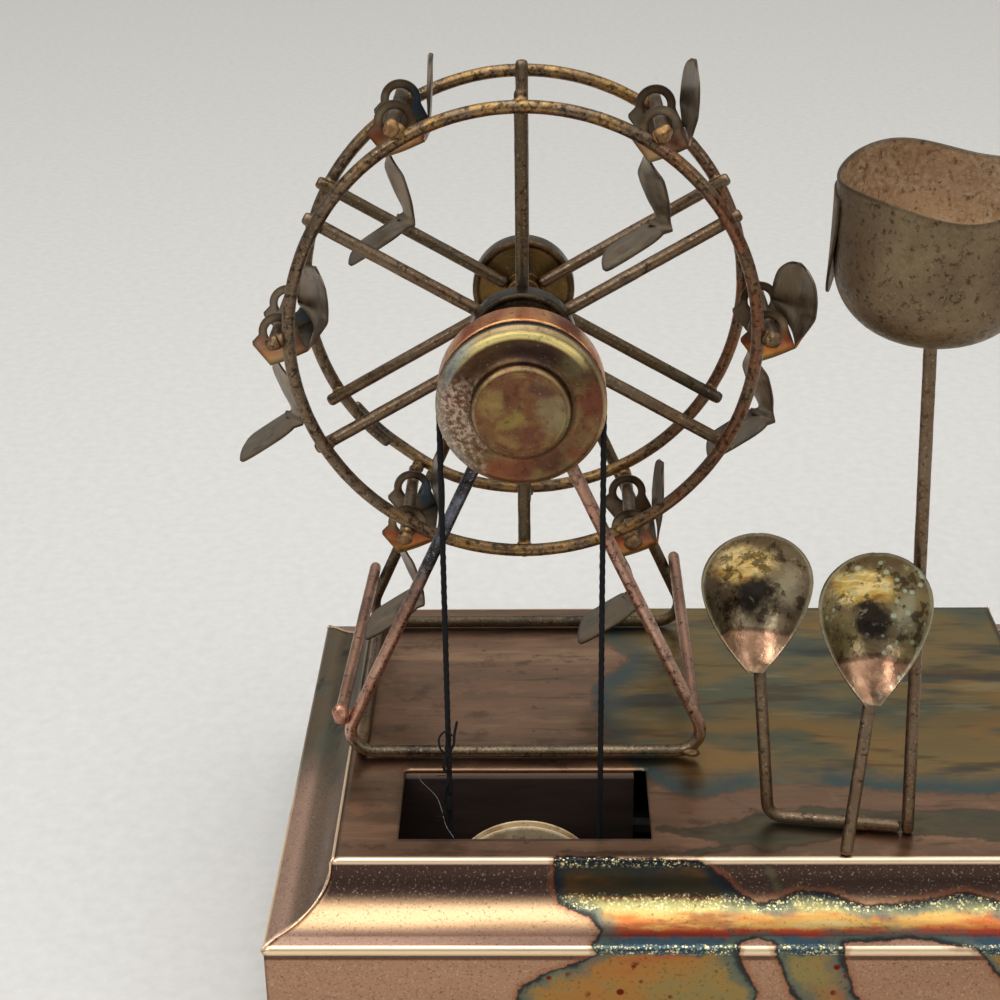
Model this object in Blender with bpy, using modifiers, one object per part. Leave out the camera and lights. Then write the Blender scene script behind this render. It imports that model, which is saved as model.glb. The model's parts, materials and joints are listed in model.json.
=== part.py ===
"""Ferris wheel music box of bent copper rod and sheet.

A wheel of two rod rings carries six hanging sheet seats and turns on an axle
between two bent rod frames. A thread belt runs from the wheel's pulley down
through an opening in the copper base to the pulley of a clockwork movement.
Three sheet flowers stand on rods beside the wheel.

The frame of the part has +X to the right and +Y to the back, with the origin
in the middle of the underside of the felt that the base stands on.
"""

import math

import bmesh
import bpy
from mathutils import Matrix, Vector

MM = 0.001

# Stock and clearance
GAP = 0.3 * MM
ROD_RADIUS = 1.6 * MM
SHEET = 0.8 * MM
SEAT_SHEET = 0.5 * MM

# Base
PLATE_LENGTH = 180 * MM
PLATE_DEPTH = 125 * MM
BASE_HEIGHT = 56 * MM
CREASE_RADIUS = 1.0 * MM
COVE_RADIUS = 12.2 * MM
LEDGE_LENGTH = 1.8 * MM
LEDGE_FALL = 0.6 * MM
LIP_RADIUS = 1.4 * MM
LIP_OVERHANG = 0.4 * MM
WALL_LIFT = 1.0 * MM
FELT_THICKNESS = 1.5 * MM
FELT_INSET = 2.0 * MM
BOARD_THICKNESS = 3.0 * MM

# Opening for the belt, measured from the wheel's middle plane
OPENING_WIDTH = 61 * MM
OPENING_FRONT_Y = -55 * MM
OPENING_BACK_Y = -24.5 * MM

# Wheel
WHEEL_FROM_LEFT = 45 * MM
AXLE_HEIGHT = 107.3 * MM
AXLE_RADIUS = 2.4 * MM
AXLE_OVERHANG = 2 * MM
FRONT_RING_Y = 0 * MM
RING_SPACING = 39 * MM
RING_RADIUS = 57 * MM
SPOKE_COUNT = 6
SPOKE_FIRST_ANGLE = 30
SPOKE_OVERHANG = 1.6 * MM
HUB_RADIUS = 13.3 * MM
HUB_WIDTH = 6.6 * MM
HUB_RIM = 1.0 * MM
COLLAR_RADIUS = 4.7 * MM
COLLAR_LENGTH = 5.2 * MM

# Seats, hung at these angles, which the maker's hand left uneven
SEAT_ANGLES = (0, 57, 119.5, 180, 240, 297)
SEAT_ROD_OVERHANG = 1.2 * MM
SEAT_WIDTH = 22.4 * MM
EAR_HOLE_RADIUS = 2.7 * MM
EAR_WALL = 1.2 * MM

# Stand
STAND_FRONT_Y = -18.5 * MM
STAND_BACK_Y = 51.5 * MM
FRONT_FOOT_REACH = 48 * MM
BACK_FOOT_REACH = 47 * MM
FOOT_BEND_RADIUS = 6 * MM
BEARING_RADIUS = 4.2 * MM
BEARING_LENGTH = 9 * MM
LEFT_BRACE_HEIGHTS = (10.1 * MM, 16.5 * MM)
RIGHT_BRACE_HEIGHTS = (11.1 * MM, 19.5 * MM)
BRACE_FRONT_OVERHANG = 1.5 * MM
BRACE_BACK_OVERHANG = 3 * MM
BASE_RAIL_X = -42.5 * MM

# Belt and pulleys
BELT_Y = -40.8 * MM
BELT_RADIUS = 0.62 * MM
GROOVE_RADIUS = 17.6 * MM
GROOVE_BOTTOM = 2.0 * MM
GROOVE_MOUTH = 2.8 * MM
WHEEL_PULLEY_RADIUS = 19.2 * MM
WHEEL_PULLEY_BACK = 10.6 * MM
DISC_EDGE_ROUND = 1.6 * MM
BOSS_RADIUS = 11.1 * MM
BOSS_FRONT = 7.4 * MM
BOSS_DISH = 0.5 * MM
BOSS_RIM = 1.2 * MM
PULLEY_BORE_FRONT = 3.5 * MM
MOVEMENT_PULLEY_RADIUS = 19.2 * MM
FLANGE_THICKNESS = 0.6 * MM
FACE_DISH = 0.3 * MM
RAISED_RING_RADIUS = 14.6 * MM
RAISED_RING_HEIGHT = 0.4 * MM
NOSE_RADIUS = 5 * MM
NOSE_HEIGHT = 1.2 * MM
SPINDLE_DROP = 24.5 * MM
SPINDLE_RADIUS = 2.0 * MM

# Movement, measured from the spindle's axis
MOVEMENT_BOARD_FRONT_Y = -27 * MM
MOVEMENT_BOARD_LEFT = -34 * MM
MOVEMENT_BOARD_RIGHT = 27.5 * MM
MOVEMENT_FOOT_DEPTH = 8 * MM
BEDPLATE_FRONT_Y = -4 * MM
BEDPLATE_THICKNESS = 3 * MM
BEDPLATE_LEFT = -15 * MM
BEDPLATE_RIGHT = 46 * MM
BEDPLATE_HALF_HEIGHT = 16.5 * MM
PILLAR_RADIUS = 2.0 * MM
PILLAR_INSET = 2.5 * MM
BARREL_RADIUS = 10.5 * MM
BARREL_LENGTH = 9 * MM
CROWN_RADIUS = 14 * MM
CROWN_THICKNESS = 4.9 * MM
PINION_RADIUS = 4 * MM
PINION_WIDTH = 2 * MM
CYLINDER_RADIUS = 6.3 * MM
CYLINDER_LENGTH = 21 * MM
CYLINDER_ARBOR_RADIUS = 1.2 * MM
END_WHEEL_RADIUS = 5.5 * MM
END_WHEEL_WIDTH = 1.5 * MM
POST_THICKNESS = 1.5 * MM
POST_WIDTH = 5 * MM
WORM_RADIUS = 1.5 * MM
GOVERNOR_SHAFT_RADIUS = 0.8 * MM
FLY_RADIUS = 4 * MM
FLY_THICKNESS = 0.8 * MM
FLY_LENGTH = 2.4 * MM
COMB_TEETH = 18
COMB_PITCH = 1.1 * MM
COMB_SLOT = 0.35 * MM
COMB_LENGTH = 11 * MM
COMB_THICKNESS = 1 * MM
COMB_CLAMP = 5 * MM
KEY_SHAFT_RADIUS = 1.6 * MM
KEY_STANDOFF = 7 * MM
KEY_WING_LENGTH = 10 * MM
KEY_WING_WIDTH = 12 * MM
KEY_WING_THICKNESS = 2 * MM
BUSHING_RADIUS = 4.6 * MM
BUSHING_FLANGE = 0.8 * MM
BUSHING_NECK = 3.2 * MM

# Flowers, measured across from the wheel's axle, back from the plate's front
# edge and up from its top
STEM_RADIUS = 1.5 * MM
LEAF_WIDTH = 25.6 * MM
LEAF_WIDEST = 0.65
LEAF_TIP_WIDTH = 0.14
LEAF_CUP_DEPTH = 6 * MM
LEAF_SHEET = 0.6 * MM
LEAF_LEAN = 12
LEFT_LEAF_HEIGHT = 33.6 * MM
LEFT_LEAF_TIP = (54.2 * MM, 13.5 * MM, 42.2 * MM)
LEFT_STEM_TOP_SHIFT = 1.1 * MM
LEFT_STEM_FOOT = (59 * MM, 14.9 * MM)
RIGHT_LEAF_HEIGHT = 36 * MM
RIGHT_LEAF_TIP = (79.6 * MM, 1 * MM, 40.7 * MM)
RIGHT_STEM_FOOT = (76 * MM, 1 * MM)
TALL_STEM_FOOT = (92 * MM, 9.9 * MM)
FLOWER_CENTRE = (89 * MM, 16.5 * MM)
FLOWER_BOTTOM = 124.5 * MM
FLOWER_HEIGHT = 40 * MM
FLOWER_RADIUS = 21.5 * MM
FLOWER_SHEET = 0.6 * MM
CUP_SHOULDER = 0.5
CUP_ROUNDNESS = 2.4
LIP_DIP = 5.5 * MM
SEPAL_BOTTOM = 9 * MM
SEPAL_HEIGHT = 24 * MM
SEPAL_SPREAD = 22
SEPAL_SIDE = 160
STEM_BEND_RADIUS = 3.5 * MM

# Facets
ROUND_STEPS = 32
HUB_STEPS = 28
SMALL_STEPS = 16
ROD_SIDES = 10
RING_STEPS = 56
RING_SIDES = 8

# Places worked out from the sizes above
WHEEL_X = WHEEL_FROM_LEFT - PLATE_LENGTH / 2
PLATE_TOP = BASE_HEIGHT
AXLE_Z = PLATE_TOP + AXLE_HEIGHT
SPINDLE_Z = PLATE_TOP - SPINDLE_DROP
BACK_RING_Y = FRONT_RING_Y + RING_SPACING
COVE_REACH = CREASE_RADIUS + COVE_RADIUS + LEDGE_LENGTH + LIP_RADIUS
LIP_DROP = CREASE_RADIUS + COVE_RADIUS + LEDGE_FALL + LIP_RADIUS
WALL_REACH = COVE_REACH - LIP_OVERHANG
WALL_BACK_Y = PLATE_DEPTH / 2 + WALL_REACH
SEAT_ROD_RADIUS = RING_RADIUS + 2 * ROD_RADIUS + GAP
SEAT_MIDDLE_Y = (FRONT_RING_Y + BACK_RING_Y) / 2
FRONT_SPOKE_Y = FRONT_RING_Y + 2 * ROD_RADIUS + GAP
BACK_SPOKE_Y = BACK_RING_Y - 2 * ROD_RADIUS - GAP
AXLE_BORE = AXLE_RADIUS + GAP
RAIL_Z = PLATE_TOP + GAP + ROD_RADIUS
FELT_TOP = FELT_THICKNESS
BOTTOM_BOARD_Z = FELT_TOP + GAP
BOTTOM_BOARD_TOP = BOTTOM_BOARD_Z + BOARD_THICKNESS
BELT_LINE_RADIUS = GROOVE_RADIUS + GAP + BELT_RADIUS

parts = None
cutters = None


def clear_scene():
    """Remove what the scene holds and make the collections."""
    global parts, cutters
    for old in list(bpy.data.objects):
        bpy.data.objects.remove(old, do_unlink=True)
    parts = bpy.data.collections.new("ferris_wheel_music_box")
    cutters = bpy.data.collections.new("cutters")
    bpy.context.scene.collection.children.link(parts)
    bpy.context.scene.collection.children.link(cutters)


def metal(name, colour, roughness, metallic=1.0):
    """A plain Principled material."""
    mat = bpy.data.materials.new(name)
    mat.use_nodes = True
    shader = mat.node_tree.nodes["Principled BSDF"]
    shader.inputs["Base Color"].default_value = (*colour, 1)
    shader.inputs["Roughness"].default_value = roughness
    shader.inputs["Metallic"].default_value = metallic
    mat.diffuse_color = (*colour, 1)
    return mat


def add_part(name, data, mat, parent=None):
    """Link an object for a sub-part, with its own material."""
    obj = bpy.data.objects.new(name, data)
    parts.objects.link(obj)
    data.materials.clear()
    data.materials.append(mat)
    if parent is not None:
        obj.parent = parent
    return obj


def pivot(name, location, parent=None):
    """An empty on a joint's axis."""
    empty = bpy.data.objects.new(name, None)
    empty.empty_display_size = 0.01
    parts.objects.link(empty)
    empty.location = location
    empty.parent = parent
    return empty


def as_cutter(obj):
    """Keep a new shape out of the model, as a tool for a Boolean."""
    cutters.objects.link(obj)
    obj.hide_render = True
    obj.display_type = 'WIRE'
    return obj


def boolean(target, tool, operation):
    """Add an exact Boolean that stays on the object."""
    mod = target.modifiers.new(tool.name, 'BOOLEAN')
    mod.operation = operation
    mod.solver = 'EXACT'
    mod.object = tool
    return mod


def shade(obj, degrees=35):
    """Smooth shading with sharp edges kept."""
    obj.data.shade_smooth()
    obj.data.set_sharp_from_angle(angle=math.radians(degrees))


def box_data(name, size, centre=(0, 0, 0)):
    """A box mesh of a size around a centre."""
    bm = bmesh.new()
    bmesh.ops.create_cube(bm, size=1)
    bmesh.ops.scale(bm, vec=Vector(size), verts=bm.verts)
    bmesh.ops.translate(bm, vec=Vector(centre), verts=bm.verts)
    data = bpy.data.meshes.new(name)
    bm.to_mesh(data)
    bm.free()
    return data


def cylinder_data(name, radius, length, steps):
    """A capped cylinder mesh along its own Z axis."""
    bm = bmesh.new()
    bmesh.ops.create_cone(
        bm, cap_ends=True, segments=steps,
        radius1=radius, radius2=radius, depth=length)
    data = bpy.data.meshes.new(name)
    bm.to_mesh(data)
    bm.free()
    return data


def along(direction):
    """The turn that lays an object's Z axis along a direction."""
    return Vector(direction).to_track_quat('Z', 'Y').to_euler()


def straight_rod(name, start, end, radius, mat, parent=None):
    """A straight rod between two points."""
    start, end = Vector(start), Vector(end)
    data = cylinder_data(name, radius, (end - start).length, ROD_SIDES)
    obj = add_part(name, data, mat, parent)
    obj.location = (start + end) / 2
    obj.rotation_euler = along(end - start)
    shade(obj)
    return obj


def filleted(points, bend, steps=5):
    """Points of a path whose inner corners are arcs of radius bend."""
    points = [Vector(p) for p in points]
    path = [points[0]]
    for before, corner, after in zip(points, points[1:], points[2:]):
        a = (before - corner).normalized()
        b = (after - corner).normalized()
        half = a.angle(b) / 2
        cut = bend / math.tan(half)
        centre = corner + (a + b).normalized() * (bend / math.sin(half))
        first = corner + a * cut - centre
        last = corner + b * cut - centre
        for i in range(steps + 1):
            path.append(centre + first.slerp(last, i / steps) * bend)
    path.append(points[-1])
    return path


def tube(name, points, radius, mat, parent=None, closed=False, resolution=2):
    """A bent rod: a poly curve with a round bevel and filled caps."""
    curve = bpy.data.curves.new(name, 'CURVE')
    curve.dimensions = '3D'
    curve.bevel_depth = radius
    curve.bevel_resolution = resolution
    curve.use_fill_caps = not closed
    spline = curve.splines.new('POLY')
    spline.points.add(len(points) - 1)
    for point, place in zip(spline.points, points):
        point.co = (*place, 1)
    spline.use_cyclic_u = closed
    spline.use_smooth = True
    return add_part(name, curve, mat, parent)


def flat_data(name, outline, thickness, hole=None):
    """A mesh of a flat outline in XY, as thick as given along Z."""
    curve = bpy.data.curves.new(name, 'CURVE')
    curve.dimensions = '2D'
    curve.fill_mode = 'BOTH'
    curve.extrude = thickness / 2
    for loop in [outline] + ([hole] if hole else []):
        spline = curve.splines.new('POLY')
        spline.points.add(len(loop) - 1)
        for point, (x, y) in zip(spline.points, loop):
            point.co = (x, y, 0, 1)
        spline.use_cyclic_u = True
    holder = bpy.data.objects.new(name + "_outline", curve)
    parts.objects.link(holder)
    bpy.context.view_layer.update()
    evaluated = holder.evaluated_get(bpy.context.evaluated_depsgraph_get())
    data = bpy.data.meshes.new_from_object(evaluated)
    bpy.data.objects.remove(holder, do_unlink=True)
    bpy.data.curves.remove(curve)
    data.name = name
    bm = bmesh.new()
    bm.from_mesh(data)
    bmesh.ops.remove_doubles(bm, verts=bm.verts, dist=0.001 * MM)
    bmesh.ops.recalc_face_normals(bm, faces=bm.faces)
    bm.to_mesh(data)
    bm.free()
    return data


def turned(name, profile, steps, mat, parent=None, closed=False):
    """A turned piece: radius and height pairs spun about Z.

    The profile runs down the outer side, from the top to the bottom. A closed
    profile makes a ring with a bore.
    """
    bm = bmesh.new()
    verts = [bm.verts.new((radius, 0, height)) for radius, height in profile]
    for a, b in zip(verts, verts[1:]):
        bm.edges.new((a, b))
    if closed:
        bm.edges.new((verts[-1], verts[0]))
    data = bpy.data.meshes.new(name)
    bm.to_mesh(data)
    bm.free()
    obj = add_part(name, data, mat, parent)
    screw = obj.modifiers.new("turn", 'SCREW')
    screw.axis = 'Z'
    screw.angle = math.tau
    screw.steps = steps
    screw.render_steps = steps
    screw.use_merge_vertices = True
    screw.merge_threshold = 0.00001
    screw.use_smooth_shade = False
    return obj


# Object Z to the front of the part, and object Z to its right
FACING_FRONT = (math.radians(90), 0, 0)
FACING_RIGHT = (0, math.radians(90), 0)


def on_circle(radius, degrees, centre=(0, 0)):
    """A point of a circle in the plane of a ring."""
    a = math.radians(degrees)
    return centre[0] + radius * math.cos(a), centre[1] + radius * math.sin(a)


def circle(radius, steps, centre=(0, 0)):
    """The corners of a round outline."""
    return [on_circle(radius, 360 * i / steps, centre) for i in range(steps)]


# Base

def cove_side():
    """Half of the cover's section, outward and up from the plate's edge.

    A tight bend leads into a hollow quarter round, which runs out flat into
    a rounded lip above the wall.
    """
    side = []
    for i in range(4):
        a = math.radians(90 - 30 * i)
        side.append((CREASE_RADIUS * math.cos(a),
                     CREASE_RADIUS * (math.sin(a) - 1)))
    for i in range(1, 8):
        a = math.radians(180 + 90 * i / 7)
        side.append((CREASE_RADIUS + COVE_RADIUS * (1 + math.cos(a)),
                     -CREASE_RADIUS + COVE_RADIUS * math.sin(a)))
    for i in range(5):
        a = math.radians(90 - 30 * i)
        side.append((COVE_REACH - LIP_RADIUS * (1 - math.cos(a)),
                     -LIP_DROP + LIP_RADIUS * math.sin(a)))
    side.append((WALL_REACH, -LIP_DROP - LIP_RADIUS))
    side.append((WALL_REACH, WALL_LIFT - PLATE_TOP))
    return side


def inset_path(points, distance):
    """The path shifted to its right, which is the inside of the sheet."""
    points = [Vector(p) for p in points]
    shifted = []
    for i, point in enumerate(points):
        ends = []
        if i > 0:
            ends.append((point - points[i - 1]).normalized())
        if i < len(points) - 1:
            ends.append((points[i + 1] - point).normalized())
        normals = [Vector((d.y, -d.x)) for d in ends]
        middle = (normals[0] + normals[-1]).normalized()
        shifted.append(point + middle * (distance / middle.dot(normals[0])))
    return [tuple(p) for p in shifted]


def end_wedge(name, side, grow):
    """The space of an end panel in plan: a trapezium with mitred ends."""
    edge = PLATE_LENGTH / 2 - grow
    corner = PLATE_DEPTH / 2 + grow * (math.sqrt(2) - 1)
    out = COVE_REACH + 5 * MM
    plan = [
        (side * edge, -corner),
        (side * (edge + out), -corner - out),
        (side * (edge + out), corner + out),
        (side * edge, corner),
    ]
    data = flat_data(name, plan, 2 * BASE_HEIGHT + 20 * MM)
    obj = bpy.data.objects.new(name, data)
    obj.location.z = BASE_HEIGHT / 2
    return as_cutter(obj)


def box_cutter(name, size, centre):
    """A box among the cutters."""
    obj = bpy.data.objects.new(name, box_data(name, size))
    obj.location = centre
    return as_cutter(obj)


def round_cutter(name, radius, length, centre, rotation, steps=SMALL_STEPS):
    """A cylinder among the cutters."""
    obj = bpy.data.objects.new(
        name, cylinder_data(name, radius, length, steps))
    obj.location = centre
    obj.rotation_euler = rotation
    return as_cutter(obj)


def build_top_cover(mat):
    """The plate with its front and back coves and walls, one bent sheet."""
    side = cove_side()
    front = [(-PLATE_DEPTH / 2 - out, up) for out, up in side]
    back = [(PLATE_DEPTH / 2 + out, up) for out, up in side]
    outer = front[::-1] + back
    section = outer + inset_path(outer, SHEET)[::-1]
    data = flat_data("top_cover", section,
                     PLATE_LENGTH + 2 * COVE_REACH + 4 * MM)
    # The section's own axes X, Y and Z lie along Y, Z and X of the part
    data.transform(Matrix(((0, 0, 1, 0), (1, 0, 0, 0),
                           (0, 1, 0, 0), (0, 0, 0, 1))))
    obj = add_part("top_cover", data, mat)
    obj.location.z = PLATE_TOP
    for side_name, sign in (("left", -1), ("right", 1)):
        boolean(obj, end_wedge(side_name + "_mitre", sign, GAP), 'DIFFERENCE')
    opening_depth = OPENING_BACK_Y - OPENING_FRONT_Y
    boolean(obj, box_cutter(
        "belt_opening",
        (OPENING_WIDTH, opening_depth, 10 * MM),
        (WHEEL_X, OPENING_FRONT_Y + opening_depth / 2, PLATE_TOP)),
        'DIFFERENCE')
    boolean(obj, round_cutter(
        "key_hole", BUSHING_NECK + GAP, 10 * MM,
        (WHEEL_X, WALL_BACK_Y, SPINDLE_Z), FACING_FRONT), 'DIFFERENCE')
    shade(obj)
    return obj


def build_end_panel(name, sign, mat):
    """A cove and wall at one end, mitred to the cover's."""
    outer = [(PLATE_LENGTH / 2 + out, up) for out, up in cove_side()]
    section = outer + inset_path(outer, SHEET)[::-1]
    section = [(sign * x, y) for x, y in section]
    data = flat_data(name, section, PLATE_DEPTH + 2 * COVE_REACH + 4 * MM)
    # The section's own axes X, Y and Z lie along X, Z and -Y of the part
    data.transform(Matrix.Rotation(math.radians(90), 4, 'X'))
    obj = add_part(name, data, mat)
    obj.location.z = PLATE_TOP
    boolean(obj, end_wedge(name + "_space", sign, 0), 'INTERSECT')
    shade(obj)
    return obj


def build_base(copper, wood, felt):
    """The cover, its end panels, the board that closes it and the felt."""
    build_top_cover(copper)
    build_end_panel("left_end_panel", -1, copper)
    build_end_panel("right_end_panel", 1, copper)
    inside = 2 * (WALL_REACH - SHEET - GAP)
    length, depth = PLATE_LENGTH + inside, PLATE_DEPTH + inside
    board = add_part("bottom_board", box_data(
        "bottom_board", (length, depth, BOARD_THICKNESS)), wood)
    board.location.z = BOTTOM_BOARD_Z + BOARD_THICKNESS / 2
    pad = add_part("base_felt", box_data("base_felt", (
        length - 2 * FELT_INSET, depth - 2 * FELT_INSET,
        FELT_THICKNESS)), felt)
    pad.location.z = FELT_THICKNESS / 2


# Stand

def stand_frame(name, y, reach, mat):
    """A bent rod: up from one side of the bearing, round the foot, along the
    plate and back up to the other side of the bearing."""
    drop = AXLE_Z - RAIL_Z
    lean = math.atan2(reach, drop)
    top = BEARING_RADIUS + GAP + 0.3 * ROD_RADIUS
    points = [
        (WHEEL_X - top * math.sin(lean), y, AXLE_Z - top * math.cos(lean)),
        (WHEEL_X - reach, y, RAIL_Z),
        (WHEEL_X + reach, y, RAIL_Z),
        (WHEEL_X + top * math.sin(lean), y, AXLE_Z - top * math.cos(lean)),
    ]
    return tube(name, filleted(points, FOOT_BEND_RADIUS), ROD_RADIUS, mat)


def leg_x(reach, height):
    """How far out a leg's middle is at a height above the rail."""
    return reach * (1 - height / (AXLE_Z - RAIL_Z))


def leg_side_x(reach, height):
    """How far out a rod lies that touches a leg's outer side."""
    lean = math.atan2(reach, AXLE_Z - RAIL_Z)
    return leg_x(reach, height) + (2 * ROD_RADIUS + GAP) / math.cos(lean)


def build_stand(rod, brass):
    """Two frames, their bearings, the side braces and the base rail.

    The left brace lies along the outer sides of both legs. The right one
    butts against the back of the front leg.
    """
    stand_frame("front_stand_frame", STAND_FRONT_Y, FRONT_FOOT_REACH, rod)
    stand_frame("rear_stand_frame", STAND_BACK_Y, BACK_FOOT_REACH, rod)
    for name, y in (("front_bearing", STAND_FRONT_Y),
                    ("rear_bearing", STAND_BACK_Y)):
        half = BEARING_LENGTH / 2
        bearing = turned(name, [
            (AXLE_BORE, half), (BEARING_RADIUS, half),
            (BEARING_RADIUS, -half), (AXLE_BORE, -half),
        ], SMALL_STEPS, brass, closed=True)
        bearing.location = (WHEEL_X, y, AXLE_Z)
        bearing.rotation_euler = FACING_FRONT
    beside = ROD_RADIUS + GAP
    low, high = LEFT_BRACE_HEIGHTS
    start = Vector((WHEEL_X - leg_side_x(FRONT_FOOT_REACH, low),
                    STAND_FRONT_Y, RAIL_Z + low))
    end = Vector((WHEEL_X - leg_side_x(BACK_FOOT_REACH, high),
                  STAND_BACK_Y, RAIL_Z + high))
    run = (end - start).normalized()
    straight_rod("left_brace", start - run * BRACE_FRONT_OVERHANG,
                 end + run * BRACE_BACK_OVERHANG, ROD_RADIUS, rod)
    low, high = RIGHT_BRACE_HEIGHTS
    start = Vector((WHEEL_X + leg_x(FRONT_FOOT_REACH, low),
                    STAND_FRONT_Y + beside, RAIL_Z + low))
    end = Vector((WHEEL_X + leg_side_x(BACK_FOOT_REACH, high),
                  STAND_BACK_Y, RAIL_Z + high))
    run = (end - start).normalized()
    straight_rod("right_brace", start, end + run * BRACE_BACK_OVERHANG,
                 ROD_RADIUS, rod)
    straight_rod(
        "left_base_rail",
        (WHEEL_X + BASE_RAIL_X, STAND_FRONT_Y + beside, RAIL_Z),
        (WHEEL_X + BASE_RAIL_X, STAND_BACK_Y - beside, RAIL_Z),
        ROD_RADIUS, rod)


# Wheel

def ring(name, y, mat, parent):
    """A rod bent to a circle."""
    bpy.ops.mesh.primitive_torus_add(
        major_radius=RING_RADIUS, minor_radius=ROD_RADIUS,
        major_segments=RING_STEPS, minor_segments=RING_SIDES)
    made = bpy.context.active_object
    data = made.data
    bpy.data.objects.remove(made, do_unlink=True)
    data.name = name
    obj = add_part(name, data, mat, parent)
    obj.location = (0, y, 0)
    obj.rotation_euler = FACING_FRONT
    shade(obj, 60)
    return obj


def hub(name, y, sign, mat, parent):
    """A shallow drum with a rim and a collar on the side of the spokes.

    sign is 1 when the collar points to the front.
    """
    half = HUB_WIDTH / 2
    rim = HUB_RADIUS - HUB_RIM
    profile = [
        (AXLE_BORE, half + COLLAR_LENGTH),
        (COLLAR_RADIUS, half + COLLAR_LENGTH),
        (COLLAR_RADIUS, half),
        (rim, half),
        (HUB_RADIUS, half - HUB_RIM / 2),
        (HUB_RADIUS, -half + HUB_RIM / 2),
        (rim, -half),
        (COLLAR_RADIUS, -half + HUB_RIM / 2),
        (AXLE_BORE, -half + HUB_RIM / 2),
    ]
    obj = turned(name, profile, HUB_STEPS, mat, parent, closed=True)
    obj.location = (0, y, 0)
    obj.rotation_euler = (sign * math.radians(90), 0, 0)
    return obj


def pulley_groove():
    """The groove's corners, as radius and height from the belt's plane."""
    return [
        (WHEEL_PULLEY_RADIUS, GROOVE_MOUTH / 2),
        (GROOVE_RADIUS, GROOVE_BOTTOM / 2),
        (GROOVE_RADIUS, -GROOVE_BOTTOM / 2),
        (WHEEL_PULLEY_RADIUS, -GROOVE_MOUTH / 2),
    ]


def wheel_pulley(mat, parent):
    """The pulley: a rounded front disc with a raised boss, and a wide drum
    behind the groove."""
    outer = WHEEL_PULLEY_RADIUS
    face = GROOVE_MOUTH / 2 + 1.5 * DISC_EDGE_ROUND
    profile = [
        (0, BOSS_FRONT - BOSS_DISH),
        (BOSS_RADIUS - 1.6 * BOSS_RIM, BOSS_FRONT - 0.6 * BOSS_DISH),
        (BOSS_RADIUS - BOSS_RIM, BOSS_FRONT),
        (BOSS_RADIUS - 0.25 * BOSS_RIM, BOSS_FRONT - 0.25 * BOSS_RIM),
        (BOSS_RADIUS, BOSS_FRONT - 0.75 * BOSS_RIM),
        (BOSS_RADIUS + 0.25 * BOSS_RIM, face + 0.1 * DISC_EDGE_ROUND),
        (BOSS_RADIUS + 1.3 * BOSS_RIM, face - 0.3 * DISC_EDGE_ROUND),
        (outer - 2.2 * DISC_EDGE_ROUND, face),
        (outer - DISC_EDGE_ROUND, face - 0.1 * DISC_EDGE_ROUND),
        (outer - 0.3 * DISC_EDGE_ROUND, face - 0.55 * DISC_EDGE_ROUND),
        (outer, face - DISC_EDGE_ROUND),
    ] + pulley_groove() + [
        (outer, 0.6 * DISC_EDGE_ROUND - WHEEL_PULLEY_BACK),
        (outer - 0.4 * DISC_EDGE_ROUND, -WHEEL_PULLEY_BACK),
        (AXLE_BORE, -WHEEL_PULLEY_BACK),
        (AXLE_BORE, PULLEY_BORE_FRONT),
        (0, PULLEY_BORE_FRONT),
    ]
    obj = turned("wheel_pulley", profile, ROUND_STEPS, mat, parent)
    obj.location = (0, BELT_Y, 0)
    obj.rotation_euler = FACING_FRONT
    return obj


def build_wheel(rod, brass, dark, parent):
    """Everything that turns with the axle, except the seats."""
    front_end = BELT_Y - PULLEY_BORE_FRONT + GAP
    back_end = STAND_BACK_Y + BEARING_LENGTH / 2 + AXLE_OVERHANG
    straight = cylinder_data(
        "wheel_axle", AXLE_RADIUS, back_end - front_end, SMALL_STEPS)
    axle = add_part("wheel_axle", straight, dark, parent)
    axle.location = (0, (front_end + back_end) / 2, 0)
    axle.rotation_euler = FACING_FRONT
    shade(axle)
    wheel_pulley(brass, parent)
    ring("front_ring", FRONT_RING_Y, rod, parent)
    ring("rear_ring", BACK_RING_Y, rod, parent)
    hub_offset = ROD_RADIUS + GAP + HUB_WIDTH / 2
    hub("front_hub", FRONT_SPOKE_Y - hub_offset, -1, dark, parent)
    hub("rear_hub", BACK_SPOKE_Y + hub_offset, 1, dark, parent)
    inner = COLLAR_RADIUS + GAP
    outer = RING_RADIUS + ROD_RADIUS + SPOKE_OVERHANG
    for side, y in (("front", FRONT_SPOKE_Y), ("rear", BACK_SPOKE_Y)):
        for i in range(SPOKE_COUNT):
            angle = SPOKE_FIRST_ANGLE + 360 * i / SPOKE_COUNT
            x1, z1 = on_circle(inner, angle)
            x2, z2 = on_circle(outer, angle)
            straight_rod(f"{side}_spoke_{i + 1}", (x1, y, z1), (x2, y, z2),
                         ROD_RADIUS, rod, parent)


# Seats, in the plane of the ring from the rod's middle

SEAT_BACK_EDGE = (6.9 * MM, -5.6 * MM)
SEAT_FRONT_EDGE = (-2.7 * MM, -9.3 * MM)
EAR_CORNERS = ((-6.6 * MM, -2.4 * MM), (-6.8 * MM, -3.8 * MM))

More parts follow.
